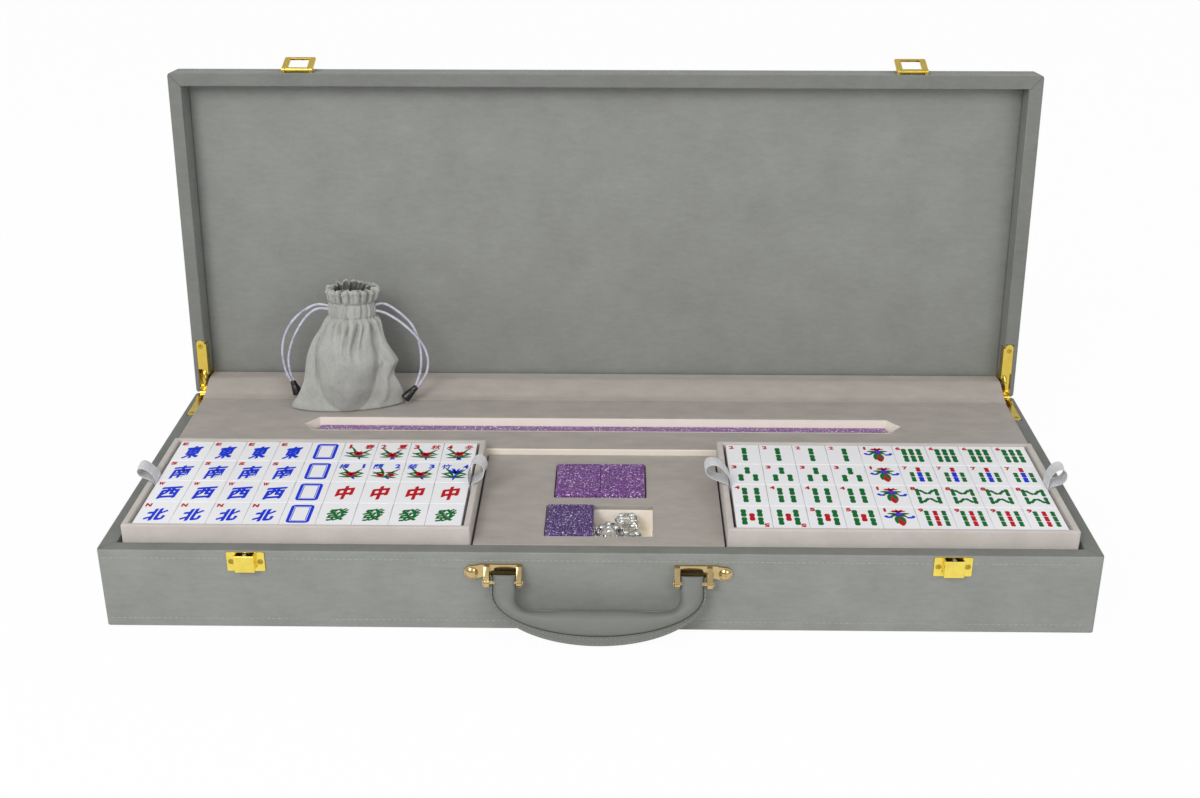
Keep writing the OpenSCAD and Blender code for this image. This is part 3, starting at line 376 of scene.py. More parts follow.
class Graph:
    """A node tree that is being written."""

    def __init__(self, tree: bpy.types.NodeTree) -> None:
        """Start from an empty tree."""
        self.tree = tree
        tree.nodes.clear()

    def node(self, kind: str, settings: dict[str, Any] | None = None, sockets: dict[Any, Any] | None = None,
             out: int | str = 0) -> Wire:
        """Add a node.

        Args:
            kind: the node's type.
            settings: its own settings, set first; "stops" are a ramp's (place, colour) pairs.
            sockets: values or wires of its inputs, by name or number.
            out: the output that is returned.
        """
        made = self.tree.nodes.new(kind)
        for key, value in (settings or {}).items():
            if key == "stops":
                ramp = made.color_ramp
                for k, (place, colour) in enumerate(value):
                    stop = ramp.elements[k] if k < 2 else ramp.elements.new(place)
                    stop.position, stop.color = place, (*colour, 1)
            else:
                setattr(made, key, value)
        for key, value in (sockets or {}).items():
            if isinstance(value, Wire):
                self.tree.links.new(value.socket, made.inputs[key])
            else:
                short = made.inputs[key].type == "RGBA" and len(value) == 3
                made.inputs[key].default_value = (*value, 1) if short else value
        return Wire(self, made.outputs[out] if made.outputs else None)

    def place(self, stretch: Sequence[float] = (1, 1, 1), turn_by: Sequence[float] = (0, 0, 0)) -> Wire:
        """The piece's own coordinates, stretched and turned."""
        at = self.node("ShaderNodeTexCoord", out="Object")
        return self.node("ShaderNodeMapping", {}, {"Vector": at, "Scale": tuple(stretch), "Rotation": tuple(turn_by)})

    def noise(self, at: Wire, scale: float, detail: float = 2.0, rough: float = 0.5) -> Wire:
        """Cloudy noise from about 0 to 1."""
        return self.node("ShaderNodeTexNoise", {}, {"Vector": at, "Scale": scale, "Detail": detail,
                                                    "Roughness": rough})

    def cells(self, at: Wire, scale: float, out: str = "Distance") -> Wire:
        """Voronoi cells: their distance, or a random colour for each."""
        return self.node("ShaderNodeTexVoronoi", {}, {"Vector": at, "Scale": scale}, out)

    def mix(self, share: Any, first: Any, second: Any) -> Wire:
        """Blend of two colours."""
        return self.node("ShaderNodeMix", {"data_type": "RGBA"}, {0: share, 6: first, 7: second}, 2)

    def ramp(self, value: Wire, stops: Sequence[tuple[float, Colour]]) -> Wire:
        """Colour ramp over a value."""
        return self.node("ShaderNodeValToRGB", {"stops": stops}, {0: value})

    def tones(self, value: Wire, colour: Colour, *stops: tuple[float, float]) -> Wire:
        """Ramp over a value from darker to lighter versions of a colour, each stop a place and a factor."""
        return self.ramp(value, [(place, shade(colour, factor)) for place, factor in stops])

    def seen(self, *rays: str) -> Wire:
        """1 for the named kinds of ray, else 0."""
        kinds = [self.node("ShaderNodeLightPath", out=f"Is {ray} Ray") for ray in rays]
        return functools.reduce(Wire.most, kinds)

    def span(self, value: Wire, lo: float, hi: float, to_lo: float = 0.0, to_hi: float = 1.0) -> Wire:
        """The value, mapped from one span to another and held there."""
        return self.node("ShaderNodeMapRange", {"clamp": True}, {0: value, 1: lo, 2: hi, 3: to_lo, 4: to_hi})

    def bump(self, height: Wire, depth_mm: float, strength: float = 1.0) -> Wire:
        """Normal of a surface that is raised by the height."""
        return self.node("ShaderNodeBump", {}, {"Height": height, "Distance": depth_mm * MM, "Strength": strength})

    def principled(self, **sockets: Any) -> Wire:
        """The main shader, its sockets by name with _ for a space."""
        return self.node("ShaderNodeBsdfPrincipled", {}, {k.replace("_", " "): v for k, v in sockets.items()})


def shade(colour: Colour, factor: float) -> Colour:
    """A lighter or darker version of a colour."""
    return tuple(min(channel * factor, 1.0) for channel in colour)


def srgb(text: str) -> Colour:
    """Linear colour of a hex code as seen on a screen."""
    values = [int(text[k:k + 2], 16) / 255 for k in (0, 2, 4)]
    return tuple(v / 12.92 if v <= 0.04045 else ((v + 0.055) / 1.055) ** 2.4 for v in values)


@dataclass(frozen=True)
class Finish:
    """A finish that makes its own material once.

    Attributes:
        name: the material's name.
        colour: main colour, linear.
    """

    name: str
    colour: Colour

    def material(self) -> bpy.types.Material:
        """The material, made at first use."""
        found = bpy.data.materials.get(self.name)
        if found:
            return found
        made = bpy.data.materials.new(self.name)
        made.use_nodes = True
        graph = Graph(made.node_tree)
        graph.node("ShaderNodeOutputMaterial", {}, {"Surface": self.surface(graph)})
        made.diffuse_color = (*self.colour, 1)
        return made

    def surface(self, g: Graph) -> Wire:
        """The shader."""
        raise NotImplementedError


@dataclass(frozen=True)
class Leatherette(Finish):
    """Grained leatherette: cloudy colour, fine pebble and pores, pale where it is rubbed."""

    roughness: float = 0.56
    pebble: float = 620.0
    depth: float = 0.1
    cloud: float = 0.13

    def surface(self, g: Graph) -> Wire:
        """Clouds of two sizes and a fine speckle in the colour; pebbled cells and pores in the bump."""
        at = g.place()
        clouds = g.noise(at, 26, 5, 0.6)
        streaks = g.noise(g.place((1, 1, 3.2), (0.2, 0.35, 0.5)), 85, 4, 0.62)
        speckle = g.noise(at, 1000, 3, 0.75)
        tone = clouds * 0.36 + streaks * 0.26 + speckle * 0.38
        swing = 1.5 * self.cloud
        colour = g.tones(tone, self.colour, (0.3, 1 - swing), (0.5, 1), (0.7, 1 + swing))
        height = g.cells(at, self.pebble) * 0.6 + g.noise(at, 1900, 2, 0.6) * 0.5 + streaks * 0.5
        rough = g.span(tone, 0.3, 0.7, self.roughness + 0.07, self.roughness - 0.06)
        return g.principled(Base_Color=colour, Roughness=rough, Specular_IOR_Level=0.38,
                            Normal=g.bump(height, self.depth))


@dataclass(frozen=True)
class Suede(Finish):
    """Short-napped lining cloth, brushed lighter and darker in patches."""

    nap: float = 0.07
    sheen: float = 0.12
    fibre: float = 1500.0

    def surface(self, g: Graph) -> Wire:
        """Brushed patches and fibre speckle in the colour, fibres in the bump."""
        at = g.place()
        patches = g.noise(g.place((1, 2.2, 1), (0, 0, 0.4)), 38, 4, 0.6)
        fibres = g.noise(g.place((1, 1.6, 1)), self.fibre, 2, 0.7)
        tone = patches * 0.62 + fibres * 0.38
        swing = 1.6 * self.nap
        colour = g.tones(tone, self.colour, (0.32, 1 - swing), (0.5, 1), (0.68, 1 + swing))
        height = fibres * 0.8 + g.cells(at, 800) * 0.3
        return g.principled(Base_Color=colour, Roughness=g.span(patches, 0.3, 0.7, 0.93, 0.84),
                            Specular_IOR_Level=0.2, Sheen_Weight=self.sheen, Sheen_Roughness=0.5,
                            Normal=g.bump(height, 0.12))


@dataclass(frozen=True)
class Metal(Finish):
    """Polished plated metal with faint wiping marks and tarnish in patches."""

    roughness: float = 0.16

    def surface(self, g: Graph) -> Wire:
        """Fine wiping marks in the roughness and slow tarnish in the colour."""
        marks = g.noise(g.place((6, 1, 1), (0.3, 0.2, 0.9)), 700, 3, 0.6)
        tarnish = g.noise(g.place(), 130, 3, 0.55)
        colour = g.tones(tarnish, self.colour, (0.36, 0.9), (0.62, 1))
        rough = g.span(marks * 0.6 + tarnish * 0.4, 0.3, 0.7, self.roughness * 0.65, self.roughness * 1.45)
        return g.principled(Base_Color=colour, Metallic=1.0, Roughness=rough,
                            Normal=g.bump(g.noise(g.place(), 260, 2, 0.5), 0.02, 0.6))


@dataclass(frozen=True)
class Glitter(Finish):
    """Purple resin full of bright flakes, under a clear gloss."""

    flake: Colour = (0.42, 0.2, 0.6)
    bright: Colour = (0.95, 0.88, 1.0)
    scale: float = 1900.0

    def surface(self, g: Graph) -> Wire:
        """Two sizes of cells, each with a random tone; few are bright, and each tips its own way."""
        at = g.place()
        small = g.cells(at, self.scale, "Color")
        large = g.cells(g.place((1, 1, 1), (0.5, 0.3, 0.8)), self.scale * 0.55, "Color")
        tone = g.node("ShaderNodeSeparateColor", {}, {0: small}, 0)
        tone2 = g.node("ShaderNodeSeparateColor", {}, {0: large}, 1)
        base = g.ramp(tone, [(0.0, shade(self.colour, 0.5)), (0.55, self.colour), (0.95, self.flake)])
        spark = tone2.over(0.955) + tone.over(0.955)
        colour = g.mix(spark.calc("MINIMUM", spark, 1.0), base, self.bright)
        clouded = g.mix(g.span(g.noise(at, 60, 3), 0.35, 0.65, 0.0, 0.25), colour, shade(self.colour, 0.8))
        return g.principled(Base_Color=clouded, Metallic=g.span(tone, 0.6, 1.0, 0.0, 0.3),
                            Roughness=g.span(tone2, 0.0, 1.0, 0.55, 0.3), Coat_Weight=0.3, Coat_Roughness=0.06,
                            Specular_IOR_Level=0.35, Normal=g.bump(tone, 0.05))


@dataclass(frozen=True)
class Velvet(Finish):
    """Soft velvet with brushed patches that catch the light."""

    sheen: float = 0.45

    def surface(self, g: Graph) -> Wire:
        """Brushed patches of two sizes in the colour, short pile in the bump."""
        patches = g.noise(g.place((1, 1, 0.6)), 75, 5, 0.65)
        brushed = g.noise(g.place((1.2, 1.2, 0.7), (0.2, 0, 0.4)), 420, 3, 0.7)
        pile = g.noise(g.place(), 2300, 2, 0.7)
        tone = patches * 0.5 + brushed * 0.35 + pile * 0.15
        colour = g.tones(tone, self.colour, (0.36, 0.84), (0.5, 1), (0.64, 1.14))
        return g.principled(Base_Color=colour, Roughness=g.span(tone, 0.3, 0.7, 0.9, 0.8), Specular_IOR_Level=0.15,
                            Sheen_Weight=self.sheen, Sheen_Roughness=0.4, Normal=g.bump(pile + brushed * 0.7, 0.16))


@dataclass(frozen=True)
class Satin(Finish):
    """Satin: a close weave with a soft shine."""

    roughness: float = 0.36
    across: tuple[float, float, float] = (1, 1, 1)
    contrast: float = 0.16

    def surface(self, g: Graph) -> Wire:
        """Fine threads across the strip in colour and bump, with soft streaks along it."""
        threads = g.noise(g.place(self.across), 1100, 2, 0.6)
        streaks = g.noise(g.place(self.across), 160, 3, 0.6)
        tone = threads * 0.5 + streaks * 0.5
        colour = g.tones(tone, self.colour, (0.36, 1 - self.contrast), (0.62, 1.08))
        rough = g.span(tone, 0.3, 0.7, self.roughness + 0.08, self.roughness - 0.06)
        return g.principled(Base_Color=colour, Roughness=rough, Specular_IOR_Level=0.6, Sheen_Weight=0.3,
                            Sheen_Roughness=0.35, Normal=g.bump(threads, 0.05))


@dataclass(frozen=True)
class Gloss(Finish):
    """Smooth moulded or lacquered surface, with faint handling marks."""

    roughness: float = 0.2
    coat: float = 0.3
    marks: float = 0.04
    level: float = 0.5

    def surface(self, g: Graph) -> Wire:
        """Slow clouding in the colour and fine marks in the roughness."""
        cloud = g.noise(g.place(), 55, 3, 0.55)
        fine = g.noise(g.place((3, 1, 1), (0.2, 0.1, 0.7)), 900, 2, 0.6)
        colour = g.tones(cloud, self.colour, (0.35, 1 - self.marks), (0.65, 1 + self.marks))
        rough = g.span(fine, 0.3, 0.7, self.roughness * 0.75, self.roughness * 1.3)
        return g.principled(Base_Color=colour, Roughness=rough, Coat_Weight=self.coat, Coat_Roughness=0.08,
                            Specular_IOR_Level=self.level, Normal=g.bump(fine, 0.012))


@dataclass(frozen=True)
class Clear(Finish):
    """Clear resin with slight clouding."""

    def surface(self, g: Graph) -> Wire:
        """Glass with a trace of roughness in patches."""
        cloud = g.noise(g.place(), 300, 2, 0.5)
        return g.principled(Base_Color=self.colour, Roughness=g.span(cloud, 0.3, 0.7, 0.015, 0.06),
                            Transmission_Weight=1.0, IOR=1.49, Specular_IOR_Level=0.6)


@dataclass(frozen=True)
class Backdrop(Finish):
    """Pale floor that the camera sees as white, and that keeps the case's shadow."""

    lift: float = 0.965

    def surface(self, g: Graph) -> Wire:
        """Matt paint, mixed with plain white light for the camera and for mirrored rays."""
        tone = g.tones(g.noise(g.place(), 3, 2), self.colour, (0.3, 0.99), (0.7, 1))
        paint = g.principled(Base_Color=tone, Roughness=0.9, Specular_IOR_Level=0.1)
        white = g.node("ShaderNodeEmission", {}, {"Color": (1, 1, 1), "Strength": 1.0})
        share = g.seen("Camera", "Glossy", "Transmission") * self.lift
        return g.node("ShaderNodeMixShader", {}, {0: share, 1: paint, 2: white})


# ---------------------------------------------------------------- pieces


def piece(name: str, shape: Shape, finishes: Sequence[Finish], like: str | None = None,
          **options: Any) -> bpy.types.Object:
    """Make a piece from a shape in mm.

    Args:
        name: the piece's name.
        shape: its shape.
        finishes: finishes by paint number.
        like: the CAD node that it stands for.
        options: further arguments of dressed.
    Returns:
        The object.
    """
    mesh = bpy.data.meshes.new(name)
    mesh.vertices.add(len(shape.points))
    mesh.vertices.foreach_set("co", (shape.points * MM).astype(np.float32).ravel())
    mesh.loops.add(len(shape.corners))
    mesh.loops.foreach_set("vertex_index", shape.corners.astype(np.int32))
    mesh.polygons.add(len(shape.sizes))
    mesh.polygons.foreach_set("loop_start", np.concatenate([[0], np.cumsum(shape.sizes)[:-1]]).astype(np.int32))
    mesh.polygons.foreach_set("material_index", shape.paint.astype(np.int32))
    mesh.update(calc_edges=True)
    mesh.validate()
    with editing(mesh) as work:
        bmesh.ops.recalc_face_normals(work, faces=work.faces)
    return dressed(name, mesh, finishes, like, **options)


@contextmanager
def editing(mesh: bpy.types.Mesh) -> Iterator[bmesh.types.BMesh]:
    """A mesh as an editable copy, which is written back at the end."""
    work = bmesh.new()
    work.from_mesh(mesh)
    yield work
    work.to_mesh(mesh)
    work.free()


def dressed(name: str, mesh: bpy.types.Mesh, finishes: Sequence[Finish], like: str | None = None,
            body: str | None = None, slot: str | None = None, sharp: float = CRISP_DEG,
            rides: bool = True) -> bpy.types.Object:
    """Link a mesh as a piece that rides on a body, and hide the CAD node that it stands for.

    Args:
        name: the piece's name.
        mesh: its mesh, in m.
        finishes: finishes by paint number.
        like: the CAD node that it stands for and hides, which gives the body.
        body: the body, where there is no such node.
        slot: not used.
        sharp: faces that meet at a larger angle than this keep a crisp edge.
        rides: whether it rides on its body; the hinge strip doesn't.
    Returns:
        The object.
    """
    for finish in finishes:
        mesh.materials.append(finish.material())
    mesh.shade_smooth()
    mesh.set_sharp_from_angle(angle=math.radians(sharp))
    crisp_flats(mesh)
    made = bpy.data.objects.new(name, mesh)
    bpy.context.scene.collection.objects.link(made)
    body = body or BODY_OF[like]
    if rides:
        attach(made, body)
    if like:
        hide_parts(like)
    LOG.info("%s: %d faces on %s", name, len(mesh.polygons), body)
    return made


def crisp_flats(mesh: bpy.types.Mesh, large: float = 400.0, share: float = 0.08, straight: float = 0.99999) -> None:
    """Mark the bent edges of large flat faces as sharp, so that their shading stays flat.

    Args:
        mesh: the mesh.
        large: area in square mm above which a face counts.
        share: share of the mesh's area above which a face counts.
        straight: two faces bend where the mean of their normals is shorter than this.
    """
    edge_of, sizes = np.zeros(len(mesh.loops), int), np.zeros(len(mesh.polygons), int)
    areas, normals = np.zeros(len(mesh.polygons)), np.zeros(len(mesh.polygons) * 3)
    mesh.loops.foreach_get("edge_index", edge_of)
    for key, values in (("loop_total", sizes), ("area", areas), ("normal", normals)):
        mesh.polygons.foreach_get(key, values)
    face_of = np.repeat(np.arange(len(sizes)), sizes)
    big = np.bincount(edge_of, areas[face_of] > min(large * MM * MM, areas.sum() * share), len(mesh.edges)) > 0
    count = np.maximum(np.bincount(edge_of, minlength=len(mesh.edges)), 1)
    total = np.stack([np.bincount(edge_of, normals.reshape(-1, 3)[face_of, k], len(mesh.edges)) for k in range(3)], 1)
    bent = np.linalg.norm(total, axis=1) / count < straight
    mark = mesh.attributes.get("sharp_edge") or mesh.attributes.new("sharp_edge", "BOOLEAN", "EDGE")
    old = np.zeros(len(mesh.edges), bool)
    mark.data.foreach_get("value", old)
    mark.data.foreach_set("value", old | big & bent)


def softened(node: str, name: str, finishes: Sequence[Finish], width: float, segments: int = 2, angle: float = 28.0,
             second: Rule | None = None) -> bpy.types.Object:
    """A CAD node's shape with rounded edges: a merged copy, with a live bevel.

    Args:
        node: the CAD node.
        name: the piece's name.
        finishes: its finishes.
        width: the bevel's width in mm.
        segments: parts of the bevel.
        angle: edges flatter than this stay as they are.
        second: says, from the faces' middles in mm and their normals, which faces have the second finish.
    Returns:
        The object.
    """
    mesh = merged_copy(node)
    if second:
        painted(mesh, second)
    made = dressed(name, mesh, finishes, node)
    bevelled(made, width, segments, "ANGLE", angle)
    return made


def wrapped(node: str, name: str, width: float, chosen: Callable[[np.ndarray], np.ndarray],
            facing: Rule) -> bpy.types.Object:
    """A CAD node's shape, wrapped in leatherette, of which only some long edges are rounded.

    Its recesses stay crisp. The edges are picked by weight, and the rim's top gets a darker leatherette, which is
    painted shade.

    Args:
        node: the CAD node.
        name: the piece's name.
        width: the rounding in mm.
        chosen: says which places, in mm, are on a line that is rounded.
        facing: gives, from the faces' middles and normals, 1 for the rim top, painted darker as shade, and 2 for the
            metal-lined hinge slots.
    Returns:
        The object.
    """
    mesh = merged_copy(node)
    painted(mesh, facing)
    with editing(mesh) as work:
        layer = work.edges.layers.float.get("bevel_weight_edge") or work.edges.layers.float.new("bevel_weight_edge")
        edges = [edge for edge in work.edges if len(edge.link_faces) == 2 and edge.calc_face_angle() > 1.0]
        ends = np.array([[vertex.co for vertex in edge.verts] for edge in edges]) / MM
        for edge, take in zip(edges, chosen(ends[:, 0]) & chosen(ends[:, 1])):
            edge[layer] = float(take)
    # finish 1, the darker rim leatherette, is painted shade on the rim top
    made = dressed(name, mesh, [CASE, RIM_PAINTED_SHADE, DEEP_BRASS], node)
    bevelled(made, width, 4, "WEIGHT")
    return made


def hinge_slots(places: np.ndarray, depth: np.ndarray) -> np.ndarray:
    """Say which places lie in the hinge slots of the side rims, below the leaves.

    Args:
        places: places in mm, with the case shut.
        depth: how far each is below the rim.
    """
    inner, outer, front, leaf, foot = 362.3, 371.35, 94.7, 1.5, 20.0
    across = np.abs(places[:, 0])
    return (across > inner) & (across < outer) & (places[:, 1] > front) & (depth > leaf) & (depth < foot)


def merged_copy(node: str) -> bpy.types.Mesh:
    """A copy of a CAD node's mesh, with doubled points merged and flat faces joined."""
    mesh = frame["nodes"][node].data.copy()
    mesh.materials.clear()
    with editing(mesh) as work:
        bmesh.ops.remove_doubles(work, verts=work.verts, dist=0.002 * MM)
        bmesh.ops.dissolve_limit(work, angle_limit=math.radians(0.6), verts=work.verts, edges=work.edges)
    return mesh


def painted(mesh: bpy.types.Mesh, rule: Rule) -> None:
    """Give each face the finish whose number a rule gives from its middle in mm and its normal."""
    middles, normals = np.zeros((2, len(mesh.polygons) * 3))
    mesh.polygons.foreach_get("center", middles)
    mesh.polygons.foreach_get("normal", normals)
    taken = rule(middles.reshape(-1, 3) / MM, normals.reshape(-1, 3))
    mesh.polygons.foreach_set("material_index", taken.astype(np.int32))


def bevelled(made: bpy.types.Object, width: float, segments: int, method: str, angle: float = 30.0) -> None:
    """A live bevel that leaves the shading of flat faces flat."""
    bevel = made.modifiers.new("edges", "BEVEL")
    bevel.width, bevel.segments, bevel.limit_method = width * MM, segments, method
    bevel.angle_limit = math.radians(angle)
    bevel.harden_normals = True
    bevel.use_clamp_overlap = True


def on_rim(places: np.ndarray, half: Sequence[float], wall: float, heights: Sequence[float]) -> np.ndarray:
    """Whether places lie on the outer line, at any of the heights, or on the inner line at the first of them."""
    x, y, z = np.abs(places[:, 0]), np.abs(places[:, 1]), places[:, 2]
    at = [np.abs(z - height) < ON_LINE for height in heights]
    corner = 3.0
    outer = np.hypot(np.maximum(x - half[0] + corner, 0), np.maximum(y - half[1] + corner, 0)) > corner - 0.05
    in_x, in_y = half[0] - wall, half[1] - wall
    inner = (np.abs(x - in_x) < ON_LINE) & (y < in_y + ON_LINE) | (np.abs(y - in_y) < ON_LINE) & (x < in_x + ON_LINE)
    return np.any(at, axis=0) & outer | at[0] & inner


# the finishes of this case and its set
CASE = Leatherette("case_leatherette", srgb("8b8d89"))
# darker copy of the case leatherette for the rim tops: painted shade, since less light falls on them
RIM_PAINTED_SHADE = Leatherette("rim_painted_shade_leatherette", srgb("777975"), 0.6)
PANEL = Leatherette("panel_leatherette", srgb("8a8c88"), 0.58, 600.0, 0.1, 0.12)
GRIP = Leatherette("grip_leatherette", srgb("737671"), 0.54, 760.0, 0.08, 0.07)
UNDER = Leatherette("underside_leatherette", srgb("6d706a"), 0.62)
LINING = Suede("lining_suede", srgb("a59e97"))
STRIP = Suede("strip_suede", srgb("b0a8a1"))
TRAY = Suede("tray_suede", srgb("c2bbb5"), 0.06)
CREAM = Suede("cream_paper_cloth", srgb("ece3d5"), 0.025, 0.0, 1100.0)
# lighter copy of the cream cloth for the deep rack slot and dice well: painted light that stands in for light reaching
# into them
CREAM_PAINTED_LIGHT = Suede("cream_painted_light", srgb("f9f1e3"), 0.02, 0.0, 1100.0)
FOAM = Suede("riser_foam", srgb("4a4845"), 0.08, 0.0, 700.0)
BRASS = Metal("polished_brass", (0.91, 0.72, 0.13), 0.14)
DEEP_BRASS = Metal("deep_brass", (0.72, 0.53, 0.095), 0.15)
DARK_BRASS = Metal("dark_brass", (0.5, 0.35, 0.06), 0.2)
CHAMPAGNE = Metal("champagne_gold", (0.6, 0.455, 0.22), 0.13)
STEEL = Metal("spring_steel", (0.6, 0.6, 0.6), 0.25)
SEAM = Gloss("painted_edge", srgb("2f3230"), 0.5, 0.0)
# dark strips at the front corners: a painted shadow line along each corner seam
SEAM_PAINTED_SHADOW = Leatherette("seam_shadow", srgb("5d605b"), 0.7)
THREAD = Satin("pale_thread", srgb("9fa19c"), 0.55)
GRIP_THREAD = Satin("grip_thread", srgb("8b8d88"), 0.55)
TILE = Gloss("tile_white", srgb("ecedef"), 0.14, 0.35, 0.008)
BACK = Glitter("tile_back_glitter", srgb("662b7c"), (0.45, 0.2, 0.62), (0.93, 0.8, 1.0))
BLOCK = Glitter("dealer_block_glitter", srgb("34195a"), (0.3, 0.14, 0.52), (0.8, 0.7, 0.95), 2100.0)
RACK = Glitter("rack_glitter", srgb("80508f"))
BLUE = Gloss("ink_blue", srgb("1034d2"), 0.5, 0.0, 0.04, 0.12)
RED = Gloss("ink_red", srgb("bb1020"), 0.5, 0.0, 0.04, 0.12)
GREEN = Gloss("ink_green", srgb("0a6a2e"), 0.5, 0.0, 0.04, 0.12)
RIBBON = Satin("silver_ribbon", srgb("dadadd"), 0.34, (1, 0.15, 1))
VELVET = Velvet("grey_velvet", srgb("acada8"), 0.08)
# darker velvet for the inside of the bag's mouth: painted shade where little light gets in
VELVET_PAINTED_SHADE = Velvet("grey_velvet_painted_shade", srgb("74756f"), 0.0)
CORD = Satin("silver_cord", srgb("d2d1e2"), 0.26, (1, 1, 1), 0.5)
PLUG = Gloss("black_cord_end", srgb("1b1c1c"), 0.35, 0.1)
CLEAR = Clear("clear_resin", (0.97, 0.98, 0.98))
PIP = Metal("silver_pip", (0.95, 0.95, 0.95), 0.22)
FLOOR = Backdrop("white_floor", (0.86, 0.86, 0.86))


# ---------------------------------------------------------------- camera and light


@dataclass
class Studio:
    """Camera at the photograph's angle, a bright dome, two soft lamps and a white floor."""

    lens_mm: float = 45.3
    eye: tuple[float, float, float] = (0.01575, -1.1219, 0.62758)
    down_deg: float = 24.06
    yaw_deg: float = 0.85
    floor_half: float = 6.0
    dome: float = 0.68
    key_watts: float = 33.0
    fill_watts: float = 8.5

    def build(self) -> None:
        """Set up the camera, world, lamps and floor."""
        self.camera()
        self.world()
        self.lamp("key", (-1.0, -2.1, 1.75), (0, 0.05, 0.1), 1.1, self.key_watts)
        self.lamp("fill", (1.2, -2.0, 1.1), (0, 0.1, 0.15), 1.1, self.fill_watts)
        self.floor()
        bpy.context.scene.view_settings.view_transform = "Standard"

    def camera(self) -> None:
        """The camera, with the photograph's angle of view."""
        lens = bpy.data.cameras.new("camera")
        lens.lens, lens.sensor_width, lens.sensor_fit = self.lens_mm, 36.0, "HORIZONTAL"
        lens.clip_start, lens.clip_end = 0.05, 50
        made = bpy.data.objects.new("camera", lens)
        made.location = self.eye
        made.rotation_euler = (math.radians(90 - self.down_deg), 0, math.radians(self.yaw_deg))
        bpy.context.scene.collection.objects.link(made)
        bpy.context.scene.camera = made

    def world(self) -> None:
        """A dome that is bright above and dimmer towards the ground, and white to the camera."""
        world = bpy.data.worlds.new("studio")
        bpy.context.scene.world = world
        world.use_nodes = True
        g = Graph(world.node_tree)
        height = g.node("ShaderNodeSeparateXYZ", {}, {0: g.node("ShaderNodeTexCoord", out="Generated")}, 2)
        tone = g.tones(height * 0.5 + 0.5, (1, 1, 1), (0.40, 0.6), (0.49, 0.3), (0.54, 0.45), (0.6, 0.92), (0.9, 1))
        soft = g.node("ShaderNodeBackground", {}, {"Color": tone, "Strength": self.dome})
        white = g.node("ShaderNodeBackground", {}, {"Color": (1, 1, 1), "Strength": 1.0})
        mixed = g.node("ShaderNodeMixShader", {}, {0: g.seen("Camera", "Transmission"), 1: soft, 2: white})
        g.node("ShaderNodeOutputWorld", {}, {"Surface": mixed})

    def lamp(self, name: str, place: Sequence[float], aim: Sequence[float], size: float, watts: float) -> None:
        """A square soft lamp that is aimed at a point."""
        light = bpy.data.lights.new(name, "AREA")
        light.size, light.energy = size, watts
        made = bpy.data.objects.new(name, light)
        made.location = place
        made.rotation_euler = look_angles(np.array(aim) - place)
        bpy.context.scene.collection.objects.link(made)

    def floor(self) -> None:
        """A pale floor just under the case."""
        h, z = self.floor_half, -0.2 * MM
        mesh = bpy.data.meshes.new("floor")
        mesh.from_pydata([(-h, -h, z), (h, -h, z), (h, h, z), (-h, h, z)], [], [(0, 1, 2, 3)])
        mesh.materials.append(FLOOR.material())
        made = bpy.data.objects.new("floor", mesh)
        bpy.context.scene.collection.objects.link(made)


def look_angles(away: np.ndarray) -> tuple[float, float, float]:
    """Euler angles that point an object's -Z axis along a direction."""
    unit = away / np.linalg.norm(away)
    return (math.acos(-unit[2]), 0.0, math.atan2(-unit[0], unit[1]))


# ---------------------------------------------------------------- drawstring bag


